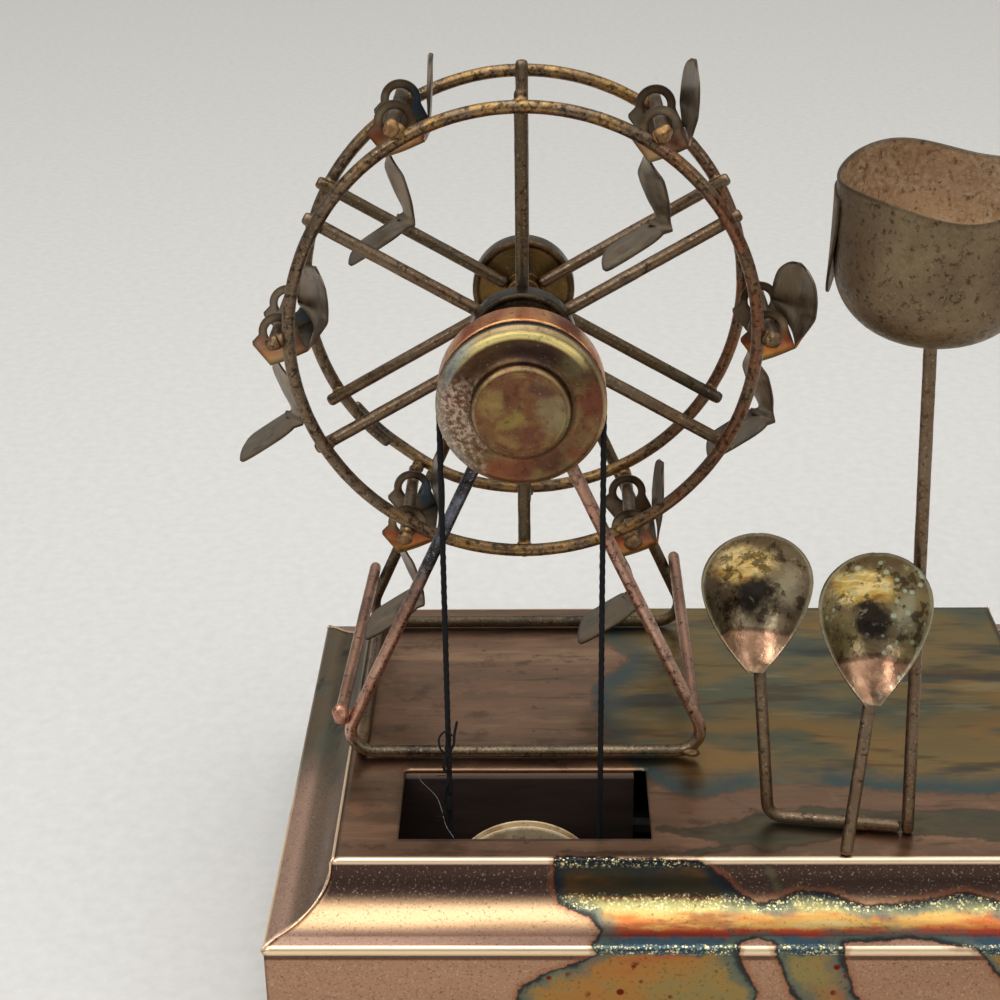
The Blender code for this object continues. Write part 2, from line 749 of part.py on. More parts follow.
# The strip from the top of the backrest to the toe of the footrest, each
# line with its place and its half width
BACKREST = (
    (7.9 * MM, 12.4 * MM, 2.2 * MM),
    (7.9 * MM, 11.2 * MM, 5.0 * MM),
    (7.8 * MM, 8.5 * MM, 7.4 * MM),
    (7.6 * MM, 4.0 * MM, 8.4 * MM),
    (7.3 * MM, -0.5 * MM, 7.6 * MM),
    (7.0 * MM, -4.0 * MM, 8.4 * MM),
)
LEG = (
    (-2.6 * MM, -10.2 * MM, 3.0 * MM),
    (-1.4 * MM, -16.0 * MM, 4.4 * MM),
    (0.4 * MM, -22.0 * MM, 3.8 * MM),
    (1.7 * MM, -26.6 * MM, 2.4 * MM),
)
FOOTREST = (
    (0.6 * MM, -28.4 * MM, 4.6 * MM),
    (-4.6 * MM, -32.2 * MM, 6.8 * MM),
    (-9.6 * MM, -35.4 * MM, 6.4 * MM),
    (-12.4 * MM, -37.2 * MM, 4.4 * MM),
    (-13.2 * MM, -37.7 * MM, 2.6 * MM),
)


def seat_strip(name):
    """The strip as an open surface, with the seat as wide as the ears."""
    half = SEAT_WIDTH / 2
    rows = list(BACKREST)
    rows.append((*SEAT_BACK_EDGE, half))
    rows.append((*SEAT_FRONT_EDGE, half))
    rows += list(LEG) + list(FOOTREST)
    bm = bmesh.new()
    lines = []
    for u, w, reach in rows:
        # The edges of the leg's strip stay 3 mm off the middle, so that the
        # seat's front edge and the leg share their corners
        inner = min(reach, 3.0 * MM) * 0.9
        lines.append([bm.verts.new((u, v, w))
                      for v in (-reach, -inner, inner, reach)])
    for above, below in zip(lines, lines[1:]):
        for i in range(3):
            bm.faces.new((above[i], below[i], below[i + 1], above[i + 1]))
    data = bpy.data.meshes.new(name)
    bm.to_mesh(data)
    bm.free()
    return data


def ear_outline():
    """A teardrop round the rod's hole, down to the seat's edge."""
    drop = EAR_HOLE_RADIUS - ROD_RADIUS - GAP
    centre = (0, -drop)
    outer = EAR_HOLE_RADIUS + EAR_WALL
    outline = [on_circle(outer, -10 + 200 * i / 12, centre)
               for i in range(13)]
    outline += list(EAR_CORNERS)
    outline += [SEAT_FRONT_EDGE, SEAT_BACK_EDGE]
    return outline, circle(EAR_HOLE_RADIUS, 14, centre)


def build_seats(mat, rod, wheel):
    """Six seats that hang on rods between the rings."""
    strip = seat_strip("seat_strip")
    outline, hole = ear_outline()
    ear = flat_data("seat_ear", outline, SEAT_SHEET, hole)
    ear.transform(Matrix.Rotation(math.radians(90), 4, 'X'))
    rod_half = RING_SPACING / 2 + ROD_RADIUS + SEAT_ROD_OVERHANG
    for i, angle in enumerate(SEAT_ANGLES):
        x, z = on_circle(SEAT_ROD_RADIUS, angle)
        straight_rod(
            f"seat_rod_{i + 1}", (x, SEAT_MIDDLE_Y - rod_half, z),
            (x, SEAT_MIDDLE_Y + rod_half, z), ROD_RADIUS, rod, wheel)
        swing = pivot(f"seat_{i + 1}_swing", (x, SEAT_MIDDLE_Y, z), wheel)
        seat = add_part(f"seat_{i + 1}", strip.copy(), mat, swing)
        thick = seat.modifiers.new("sheet", 'SOLIDIFY')
        thick.thickness = SEAT_SHEET
        thick.offset = 0
        thick.use_even_offset = True
        for side, sign in (("front", -1), ("rear", 1)):
            tool = bpy.data.objects.new(f"seat_{i + 1}_{side}_ear", ear)
            tool.parent = swing
            tool.location = (0, sign * (SEAT_WIDTH - SEAT_SHEET) / 2, 0)
            as_cutter(tool)
            boolean(seat, tool, 'UNION')


# Belt

def build_belt(mat):
    """The thread, a closed loop round both pulleys."""
    top = (WHEEL_X, AXLE_Z)
    bottom = (WHEEL_X, SPINDLE_Z)
    steps = 14
    points = []
    for centre, first in ((top, 0), (bottom, 180)):
        for i in range(steps + 1):
            x, z = on_circle(BELT_LINE_RADIUS, first + 180 * i / steps, centre)
            points.append((x, BELT_Y, z))
    return tube("drive_belt", points, BELT_RADIUS, mat, closed=True,
                resolution=1)


# Movement

def movement_pulley(mat, parent):
    """A thin disc with two flanges and a raised middle."""
    outer = MOVEMENT_PULLEY_RADIUS
    floor = GROOVE_BOTTOM / 2
    face = floor + FLANGE_THICKNESS
    ring_face = face + RAISED_RING_HEIGHT
    bore = SPINDLE_RADIUS + GAP
    profile = [
        (0, face + NOSE_HEIGHT),
        (NOSE_RADIUS, face + NOSE_HEIGHT),
        (NOSE_RADIUS + NOSE_HEIGHT, ring_face),
        (RAISED_RING_RADIUS - RAISED_RING_HEIGHT, ring_face),
        (RAISED_RING_RADIUS, face - FACE_DISH),
        (outer - FLANGE_THICKNESS, face),
        (outer, face - FACE_DISH),
        (outer, floor),
        (GROOVE_RADIUS, floor),
        (GROOVE_RADIUS, -floor),
        (outer, -floor),
        (outer, -face),
        (bore, -face),
        (bore, floor),
        (0, floor),
    ]
    obj = turned("movement_pulley", profile, ROUND_STEPS, mat, parent)
    obj.location = (0, BELT_Y, 0)
    obj.rotation_euler = FACING_FRONT
    return obj


def spring_barrel(mat, parent):
    """The barrel with its crown wheel behind and its spindle in front."""
    back = BEDPLATE_FRONT_Y - GAP
    bore = KEY_SHAFT_RADIUS + GAP
    height = CROWN_THICKNESS + BARREL_LENGTH
    spindle = back - BELT_Y + GROOVE_BOTTOM / 2 - GAP
    profile = [
        (0, spindle),
        (SPINDLE_RADIUS, spindle),
        (SPINDLE_RADIUS, height),
        (BARREL_RADIUS, height),
        (BARREL_RADIUS, CROWN_THICKNESS),
        (CROWN_RADIUS, CROWN_THICKNESS),
        (CROWN_RADIUS, 0),
        (bore, 0),
        (bore, BARREL_LENGTH),
        (0, BARREL_LENGTH),
    ]
    obj = turned("spring_barrel", profile, HUB_STEPS, mat, parent)
    obj.location = (0, back, 0)
    obj.rotation_euler = FACING_FRONT
    return obj


def build_movement(wood, cast, brass, steel):
    """A wound comb movement on a board behind the opening."""
    board_back = MOVEMENT_BOARD_FRONT_Y + BOARD_THICKNESS
    floor = BOTTOM_BOARD_TOP + GAP
    ceiling = PLATE_TOP - SHEET - GAP
    section = [
        (MOVEMENT_BOARD_FRONT_Y, floor),
        (board_back + MOVEMENT_FOOT_DEPTH, floor),
        (board_back + MOVEMENT_FOOT_DEPTH, floor + BOARD_THICKNESS),
        (board_back, floor + BOARD_THICKNESS),
        (board_back, ceiling),
        (MOVEMENT_BOARD_FRONT_Y, ceiling),
    ]
    data = flat_data("movement_board", section,
                     MOVEMENT_BOARD_RIGHT - MOVEMENT_BOARD_LEFT)
    data.transform(Matrix(((0, 0, 1, 0), (1, 0, 0, 0),
                           (0, 1, 0, 0), (0, 0, 0, 1))))
    board = add_part("movement_board", data, wood)
    board.location.x = (WHEEL_X
                        + (MOVEMENT_BOARD_LEFT + MOVEMENT_BOARD_RIGHT) / 2)
    boolean(board, round_cutter(
        "spindle_hole", SPINDLE_RADIUS + GAP, 20 * MM,
        (WHEEL_X, board_back, SPINDLE_Z), FACING_FRONT), 'DIFFERENCE')

    # Where the cylinder's line of wheels stands, from the barrel's axis
    cylinder_y = (BEDPLATE_FRONT_Y - GAP - CROWN_THICKNESS - GAP
                  - PINION_RADIUS)
    pinion_x = CROWN_RADIUS - PINION_WIDTH
    left_post = CROWN_RADIUS + 1 * MM
    cylinder_x = left_post + POST_THICKNESS + 1 * MM
    end_wheel_x = cylinder_x + CYLINDER_LENGTH + 1 * MM
    right_post = end_wheel_x + END_WHEEL_WIDTH + 1 * MM
    arbor_end = right_post + POST_THICKNESS + 1 * MM
    worm_x = end_wheel_x + END_WHEEL_WIDTH / 2
    worm_z = END_WHEEL_RADIUS + GAP + WORM_RADIUS

    plate_y = BEDPLATE_FRONT_Y + BEDPLATE_THICKNESS / 2
    bedplate = add_part("movement_bedplate", box_data(
        "movement_bedplate",
        (BEDPLATE_RIGHT - BEDPLATE_LEFT, BEDPLATE_THICKNESS,
         2 * BEDPLATE_HALF_HEIGHT),
        ((BEDPLATE_LEFT + BEDPLATE_RIGHT) / 2, 0, 0)), cast)
    bedplate.location = (WHEEL_X, plate_y, SPINDLE_Z)

    def join_box(name, low, high):
        size = [b - a for a, b in zip(low, high)]
        centre = [(a + b) / 2 for a, b in zip(low, high)]
        centre = (WHEEL_X + centre[0], centre[1], SPINDLE_Z + centre[2])
        boolean(bedplate, box_cutter(name, size, centre), 'UNION')

    post_front = cylinder_y - 2.5 * MM
    for name, x in (("left_post", left_post), ("right_post", right_post)):
        join_box(name, (x, post_front, -POST_WIDTH / 2),
                 (x + POST_THICKNESS, plate_y, POST_WIDTH / 2))
    comb_tip = -CYLINDER_RADIUS - GAP
    comb_end = comb_tip - COMB_LENGTH
    comb_x = cylinder_x + (CYLINDER_LENGTH - COMB_TEETH * COMB_PITCH) / 2
    comb_back = cylinder_y + COMB_THICKNESS / 2
    join_box("comb_block", (comb_x, comb_back + GAP, comb_end + 0.8 * MM),
             (comb_x + COMB_TEETH * COMB_PITCH, plate_y,
              comb_end + COMB_CLAMP))
    pillar_length = plate_y - board_back - GAP
    pillar_x = -BEDPLATE_LEFT - PILLAR_INSET
    for side, x in (("left", -pillar_x), ("right", pillar_x)):
        for level, z in (("low", PILLAR_INSET - BEDPLATE_HALF_HEIGHT),
                         ("high", BEDPLATE_HALF_HEIGHT - PILLAR_INSET)):
            boolean(bedplate, round_cutter(
                f"{side}_{level}_pillar", PILLAR_RADIUS, pillar_length,
                (WHEEL_X + x, plate_y - pillar_length / 2, SPINDLE_Z + z),
                FACING_FRONT, 10), 'UNION')
    boolean(bedplate, round_cutter(
        "arbor_hole", KEY_SHAFT_RADIUS + GAP, 20 * MM,
        (WHEEL_X, plate_y, SPINDLE_Z), FACING_FRONT), 'DIFFERENCE')
    boolean(bedplate, round_cutter(
        "cylinder_bores", CYLINDER_ARBOR_RADIUS + GAP, 60 * MM,
        (WHEEL_X + left_post + 20 * MM, cylinder_y, SPINDLE_Z),
        FACING_RIGHT, 12), 'DIFFERENCE')
    boolean(bedplate, round_cutter(
        "governor_bore", GOVERNOR_SHAFT_RADIUS + GAP, 3 * MM,
        (WHEEL_X + worm_x, BEDPLATE_FRONT_Y, SPINDLE_Z + worm_z),
        FACING_FRONT, 12), 'DIFFERENCE')

    # Comb: one outline with its slots
    outline = [(0, 0), (COMB_TEETH * COMB_PITCH, 0)]
    for i in reversed(range(COMB_TEETH)):
        right = (i + 1) * COMB_PITCH - COMB_SLOT / 2
        left = i * COMB_PITCH + COMB_SLOT / 2
        outline += [(right, COMB_CLAMP), (right, COMB_LENGTH),
                    (left, COMB_LENGTH), (left, COMB_CLAMP)]
    data = flat_data("comb", outline, COMB_THICKNESS)
    comb = add_part("comb", data, steel)
    comb.location = (WHEEL_X + comb_x, cylinder_y, SPINDLE_Z + comb_end)
    comb.rotation_euler = FACING_FRONT

    drive = pivot("drive_axis", (WHEEL_X, 0, SPINDLE_Z))
    movement_pulley(brass, drive)
    spring_barrel(brass, drive)

    cylinder_axis = pivot("cylinder_axis",
                          (WHEEL_X, cylinder_y, SPINDLE_Z))
    arbor = CYLINDER_ARBOR_RADIUS
    cylinder = turned("music_cylinder", [
        (0, arbor_end), (arbor, arbor_end),
        (arbor, end_wheel_x + END_WHEEL_WIDTH),
        (END_WHEEL_RADIUS, end_wheel_x + END_WHEEL_WIDTH),
        (END_WHEEL_RADIUS, end_wheel_x), (arbor, end_wheel_x),
        (arbor, cylinder_x + CYLINDER_LENGTH),
        (CYLINDER_RADIUS, cylinder_x + CYLINDER_LENGTH),
        (CYLINDER_RADIUS, cylinder_x), (arbor, cylinder_x),
        (arbor, pinion_x + PINION_WIDTH),
        (PINION_RADIUS, pinion_x + PINION_WIDTH),
        (PINION_RADIUS, pinion_x), (0, pinion_x),
    ], 20, brass, cylinder_axis)
    cylinder.rotation_euler = FACING_RIGHT

    governor_axis = pivot(
        "governor_axis", (WHEEL_X + worm_x, 0, SPINDLE_Z + worm_z))
    shaft = GOVERNOR_SHAFT_RADIUS
    worm_front = END_WHEEL_RADIUS - 1.5 * MM - cylinder_y
    worm_back = -cylinder_y - END_WHEEL_RADIUS + 1.5 * MM
    fly_start = -(cylinder_y - END_WHEEL_RADIUS - 1.6 * MM)
    governor = turned("governor", [
        (0, fly_start + FLY_LENGTH), (shaft, fly_start + FLY_LENGTH),
        (shaft, worm_front), (WORM_RADIUS, worm_front),
        (WORM_RADIUS, worm_back), (shaft, worm_back),
        (shaft, -BEDPLATE_FRONT_Y - 1.2 * MM),
        (0, -BEDPLATE_FRONT_Y - 1.2 * MM),
    ], 10, steel, governor_axis)
    governor.rotation_euler = FACING_FRONT
    fly = bpy.data.objects.new("fly_vanes", box_data(
        "fly_vanes", (2 * FLY_RADIUS, FLY_LENGTH, FLY_THICKNESS)))
    fly.parent = governor_axis
    fly.location = (0, -fly_start - FLY_LENGTH / 2 + 0.1 * MM, 0)
    as_cutter(fly)
    boolean(governor, fly, 'UNION')

    # Bracket: a post on the bedplate with an arm over the worm's shaft
    arm_y = -fly_start + 0.4 * MM
    arm_z = BEDPLATE_HALF_HEIGHT
    bracket = add_part("governor_bracket", flat_data("governor_bracket", [
        (arm_y, worm_z - 2 * MM), (arm_y + 0.8 * MM, worm_z - 2 * MM),
        (arm_y + 0.8 * MM, arm_z - 1.5 * MM),
        (BEDPLATE_FRONT_Y - GAP, arm_z - 1.5 * MM),
        (BEDPLATE_FRONT_Y - GAP, arm_z), (arm_y, arm_z),
    ], 4 * MM), cast)
    bracket.data.transform(Matrix(((0, 0, 1, 0), (1, 0, 0, 0),
                                   (0, 1, 0, 0), (0, 0, 0, 1))))
    bracket.location = (WHEEL_X + worm_x, 0, SPINDLE_Z)
    boolean(bracket, round_cutter(
        "bracket_bore", shaft + GAP, 3 * MM,
        (WHEEL_X + worm_x, arm_y, SPINDLE_Z + worm_z), FACING_FRONT, 12),
        'DIFFERENCE')


def build_key(brass, steel):
    """The key's long shaft through the back wall, and its bushing there."""
    axis = pivot("key_axis", (WHEEL_X, 0, SPINDLE_Z))
    inner = BEDPLATE_FRONT_Y - GAP - BARREL_LENGTH + 1 * MM
    wing_start = WALL_BACK_Y + KEY_STANDOFF
    shaft_end = wing_start + 2 * MM
    key = add_part("winding_key", cylinder_data(
        "winding_key", KEY_SHAFT_RADIUS, shaft_end - inner, 12), steel, axis)
    key.data.transform(Matrix.Rotation(math.radians(90), 4, 'X'))
    key.location = (0, (inner + shaft_end) / 2, 0)
    barrel = bpy.data.objects.new("key_barrel", cylinder_data(
        "key_barrel", 2 * KEY_SHAFT_RADIUS, 6 * MM, SMALL_STEPS))
    barrel.parent = axis
    barrel.location = (0, wing_start, 0)
    barrel.rotation_euler = FACING_FRONT
    as_cutter(barrel)
    boolean(key, barrel, 'UNION')
    for name, sign in (("left_wing", -1), ("right_wing", 1)):
        outline = circle(KEY_WING_WIDTH / 2, 18)
        hole = circle(KEY_WING_WIDTH / 2 - 2.6 * MM, 12)
        data = flat_data(name, outline, KEY_WING_THICKNESS, hole)
        data.transform(Matrix.Diagonal((KEY_WING_LENGTH / KEY_WING_WIDTH,
                                        1, 1, 1)))
        wing = bpy.data.objects.new(name, data)
        wing.parent = axis
        wing.location = (sign * (KEY_WING_LENGTH / 2 + 1.6 * MM),
                         wing_start + 3 * MM, 0)
        as_cutter(wing)
        boolean(key, wing, 'UNION')
    bore = KEY_SHAFT_RADIUS + GAP
    outside = BUSHING_FLANGE + GAP
    bushing = turned("key_bushing", [
        (bore, outside), (BUSHING_RADIUS, outside), (BUSHING_RADIUS, GAP),
        (BUSHING_NECK, GAP), (BUSHING_NECK, -SHEET - GAP),
        (bore, -SHEET - GAP),
    ], SMALL_STEPS, brass, closed=True)
    bushing.location = (WHEEL_X, WALL_BACK_Y, SPINDLE_Z)
    bushing.rotation_euler = (math.radians(-90), 0, 0)


# Flowers

def plant_point(place, up):
    """A point across from the axle, back from the plate's front edge and up
    from its top."""
    return Vector((WHEEL_X + place[0], place[1] - PLATE_DEPTH / 2,
                   PLATE_TOP + up))


def surface_grid(name, rows, sheet, mat, wrap=False):
    """Sheet metal over a grid of points, its back away from the grid's
    front face."""
    bm = bmesh.new()
    lines = [[bm.verts.new(p) for p in row] for row in rows]
    for above, below in zip(lines, lines[1:]):
        count = len(above)
        for i in range(count if wrap else count - 1):
            j = (i + 1) % count
            bm.faces.new((above[i], above[j], below[j], below[i]))
    if wrap:
        bm.faces.new(lines[0][::-1])
    data = bpy.data.meshes.new(name)
    bm.to_mesh(data)
    bm.free()
    obj = add_part(name, data, mat)
    thick = obj.modifiers.new("sheet", 'SOLIDIFY')
    thick.thickness = sheet
    thick.offset = 0
    thick.use_even_offset = True
    return obj


def leaf_levels(below=6, above=6):
    """Shares of the leaf's height and width, from the tip to the top.

    The sides bow out from the tip to the widest place, and an ellipse ends
    the leaf above it.
    """
    levels = []
    for i in range(below):
        share = i / below
        width = 1 - (1 - LEAF_TIP_WIDTH) * (1 - share) ** 1.75
        levels.append((LEAF_WIDEST * share, width))
    for i in range(above):
        a = math.radians(82 * i / (above - 1))
        levels.append((LEAF_WIDEST + (1 - LEAF_WIDEST) * math.sin(a),
                       math.cos(a)))
    return levels


def cupped_leaf(name, tip, height, mat):
    """A spoon of sheet that widens from its tip, hollow to the front."""
    rows = []
    for up, width in leaf_levels():
        hollow = LEAF_CUP_DEPTH * math.sin(math.pi * up) ** 1.5
        row = []
        for c in range(9):
            s = -1 + c / 4
            row.append(Vector((LEAF_WIDTH / 2 * width * s,
                               hollow * (1 - s * s), height * up)))
        rows.append(row)
    obj = surface_grid(name, rows, LEAF_SHEET, mat)
    obj.location = tip
    obj.rotation_euler = (math.radians(-LEAF_LEAN), 0, 0)
    shade(obj, 60)
    return obj


def build_flowers(rod, copper):
    """Two cupped leaves and a tall tulip cup on rods."""
    touch = STEM_RADIUS + GAP + LEAF_SHEET / 2
    left_tip = plant_point(LEFT_LEAF_TIP[:2], LEFT_LEAF_TIP[2])
    right_tip = plant_point(RIGHT_LEAF_TIP[:2], RIGHT_LEAF_TIP[2])
    behind = Vector((0, touch + 0.8 * MM, 1.5 * MM))
    ground = GAP + STEM_RADIUS
    foot = plant_point(LEFT_STEM_FOOT, ground)
    tall_foot = plant_point(TALL_STEM_FOOT, ground)
    run = tall_foot - foot
    rail_end = tall_foot - run.normalized() * (STEM_RADIUS + GAP)
    left_top = left_tip + behind + Vector((LEFT_STEM_TOP_SHIFT, 0, 0))
    tube("left_leaf_stem", filleted(
        [left_top, foot, rail_end], STEM_BEND_RADIUS, 4),
        STEM_RADIUS, rod)
    cupped_leaf("left_leaf", left_tip, LEFT_LEAF_HEIGHT, copper)
    straight_rod("right_leaf_stem", plant_point(RIGHT_STEM_FOOT, GAP),
                 right_tip + behind, STEM_RADIUS, rod)
    cupped_leaf("right_leaf", right_tip, RIGHT_LEAF_HEIGHT, copper)

    cup_bottom = plant_point(FLOWER_CENTRE, FLOWER_BOTTOM)
    stem_top = cup_bottom - Vector((0, 0, GAP + FLOWER_SHEET / 2))
    straight_rod("tall_flower_stem", plant_point(TALL_STEM_FOOT, GAP),
                 stem_top, STEM_RADIUS, rod)
    columns, levels = 24, 7
    rows = []
    for r in range(levels + 1):
        v = 0.04 + 0.96 * r / levels
        swell = min(v / CUP_SHOULDER, 1)
        radius = FLOWER_RADIUS * math.sqrt(
            1 - (1 - swell) ** CUP_ROUNDNESS)
        row = []
        for c in range(columns):
            a = math.tau * c / columns
            dip = LIP_DIP * max(-math.sin(a), 0) ** 2 * v ** 3
            height = FLOWER_HEIGHT * v - dip
            row.append(Vector((radius * math.cos(a), radius * math.sin(a),
                               height)))
        rows.append(row)
    base = rows[0][0].z
    for row in rows:
        for point in row:
            point.z -= base
    cup = surface_grid("tall_flower_cup", rows, FLOWER_SHEET, copper, True)
    cup.location = cup_bottom
    shade(cup, 60)

    side = math.radians(SEPAL_SIDE)
    rows = []
    for r in range(7):
        t = r / 6
        width = 0.3 + math.sin(math.pi * (0.15 + 0.75 * t))
        spread = math.radians(SEPAL_SPREAD * width)
        radius = FLOWER_RADIUS + 1.5 * FLOWER_SHEET + GAP
        height = SEPAL_BOTTOM + SEPAL_HEIGHT * t
        rows.append([
            Vector((radius * math.cos(side + spread * s),
                    radius * math.sin(side + spread * s), height))
            for s in (-1, -0.5, 0, 0.5, 1)])
    sepal = surface_grid("tall_flower_sepal", rows, FLOWER_SHEET, copper)
    sepal.location = cup_bottom
    shade(sepal, 60)


def main():
    clear_scene()
    copper = metal("polished_copper", (0.72, 0.43, 0.30), 0.32)
    rod = metal("antique_rod", (0.42, 0.27, 0.16), 0.42)
    brass = metal("aged_brass", (0.62, 0.44, 0.22), 0.35)
    dark = metal("dark_bronze", (0.18, 0.13, 0.10), 0.45)
    bronze = metal("tinted_bronze_sheet", (0.40, 0.30, 0.20), 0.35)
    steel = metal("bright_steel", (0.62, 0.61, 0.58), 0.30)
    cast = metal("cast_zinc", (0.50, 0.50, 0.50), 0.50)
    wood = metal("dark_board", (0.10, 0.06, 0.04), 0.70, 0.0)
    felt = metal("green_felt", (0.05, 0.10, 0.07), 0.95, 0.0)
    thread = metal("black_thread", (0.02, 0.02, 0.025), 0.80, 0.0)

    build_base(copper, wood, felt)
    build_stand(rod, brass)
    wheel = pivot("wheel_axis", (WHEEL_X, 0, AXLE_Z))
    build_wheel(rod, brass, dark, wheel)
    build_seats(bronze, rod, wheel)
    build_belt(thread)
    build_movement(wood, cast, brass, steel)
    build_key(brass, steel)
    build_flowers(rod, copper)


main()
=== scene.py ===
"""Looks of the ferris wheel music box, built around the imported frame."""

import json
import math
import random

import bmesh
import bpy
import numpy as np
from mathutils import Matrix, Vector, noise


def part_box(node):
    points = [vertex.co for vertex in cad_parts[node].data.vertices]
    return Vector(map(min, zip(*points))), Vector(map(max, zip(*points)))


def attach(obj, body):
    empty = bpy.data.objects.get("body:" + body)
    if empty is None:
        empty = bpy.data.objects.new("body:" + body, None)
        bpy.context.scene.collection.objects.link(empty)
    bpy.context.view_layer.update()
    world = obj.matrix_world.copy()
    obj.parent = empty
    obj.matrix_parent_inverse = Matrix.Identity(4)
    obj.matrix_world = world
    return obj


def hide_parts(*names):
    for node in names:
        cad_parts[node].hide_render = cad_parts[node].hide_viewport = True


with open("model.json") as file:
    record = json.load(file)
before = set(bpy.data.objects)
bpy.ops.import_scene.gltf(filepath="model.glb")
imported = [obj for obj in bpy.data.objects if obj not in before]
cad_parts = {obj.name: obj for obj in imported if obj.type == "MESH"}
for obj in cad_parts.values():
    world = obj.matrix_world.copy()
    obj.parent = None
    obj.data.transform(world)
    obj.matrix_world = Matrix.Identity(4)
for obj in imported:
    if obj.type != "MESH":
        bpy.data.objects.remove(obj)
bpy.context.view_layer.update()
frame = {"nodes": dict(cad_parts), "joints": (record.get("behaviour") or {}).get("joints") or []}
MM = 0.001

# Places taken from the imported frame
JOINTS = {joint["name"]: joint for joint in frame["joints"]}
PLATE_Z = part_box("top_cover")[1][2]
AXLE = Vector(JOINTS["wheel_spin"]["pos_m"])
SPINDLE = Vector(JOINTS["movement_spin"]["pos_m"])
WHEEL_X = AXLE.x

# Camera fitted to the photograph by the wheel's front ring: its place from
# the wheel's middle and the plate, and its turns in radians
LENS, SENSOR = 69.763, 36
CAMERA_PLACE = (4.35 * MM, -443.99 * MM, 269.05 * MM)
PITCH, YAW, ROLL = 0.4318, -0.0234, -0.0145


def make_camera():
    data = bpy.data.cameras.new("camera")
    data.lens = LENS
    data.sensor_width = SENSOR
    data.clip_start = 0.01
    data.clip_end = 20
    camera = bpy.data.objects.new("camera", data)
    bpy.context.scene.collection.objects.link(camera)
    forward = Vector((math.sin(YAW) * math.cos(PITCH),
                      math.cos(YAW) * math.cos(PITCH), -math.sin(PITCH)))
    right = Vector((math.cos(YAW), -math.sin(YAW), 0))
    up = right.cross(forward)
    across = math.cos(ROLL) * right + math.sin(ROLL) * up
    upright = math.cos(ROLL) * up - math.sin(ROLL) * right
    turn = Matrix((across, upright, -forward)).transposed()
    place = Vector((WHEEL_X, 0, PLATE_Z)) + Vector(CAMERA_PLACE)
    camera.matrix_world = Matrix.Translation(place) @ turn.to_4x4()
    bpy.context.scene.camera = camera


make_camera()


# Node tree shorthand. Tones are written as they look on a screen, 0 to 255.

def rgb(r, g, b):
    """Linear values of a tone."""
    return tuple(
        (c / 12.92 if c <= 0.04045 else ((c + 0.055) / 1.055) ** 2.4)
        for c in (r / 255, g / 255, b / 255))


def set_stops(ramp, stops):
    """Fill a colour ramp with places and linear colours."""
    while len(ramp.elements) < len(stops):
        ramp.elements.new(0.5)
    for element, (position, colour) in zip(ramp.elements, stops):
        element.position = position
        element.color = (*colour, 1)


def even_stops(tones, low=0.30, high=0.72):
    """Tones evenly spaced along a ramp."""
    last = len(tones) - 1
    return [(low + (high - low) * i / last, tone)
            for i, tone in enumerate(tones)]


class Value:
    """A socket of a material's nodes, with sums written as usual."""

    def __init__(self, graph, socket):
        self.graph = graph
        self.socket = socket

    def __add__(self, other):
        return self.graph.math('ADD', self, other)

    def __sub__(self, other):
        return self.graph.math('SUBTRACT', self, other)

    def __mul__(self, other):
        return self.graph.math('MULTIPLY', self, other)

    def __truediv__(self, other):
        return self.graph.math('DIVIDE', self, other)

    def most(self, other):
        return self.graph.math('MAXIMUM', self, other)

    def spread(self, low, high, out_low=0.0, out_high=1.0):
        """Eased from out_low at low to out_high at high."""
        return self.graph.add("ShaderNodeMapRange", {
            "Value": self, "From Min": low, "From Max": high,
            "To Min": out_low, "To Max": out_high}, "Result",
            interpolation_type='SMOOTHSTEP')

    def band(self, low, rise, fall, high):
        """1 between rise and fall, and 0 below low and above high."""
        return self.spread(low, rise) * self.spread(fall, high, 1, 0)

    def ramp(self, stops, smooth=True):
        """Tones by this value."""
        made = self.graph.add("ShaderNodeValToRGB", {0: self})
        ramp = made.socket.node.color_ramp
        if smooth:
            ramp.interpolation = 'EASE'
        set_stops(ramp, [(place, rgb(*tone)) for place, tone in stops])
        return made


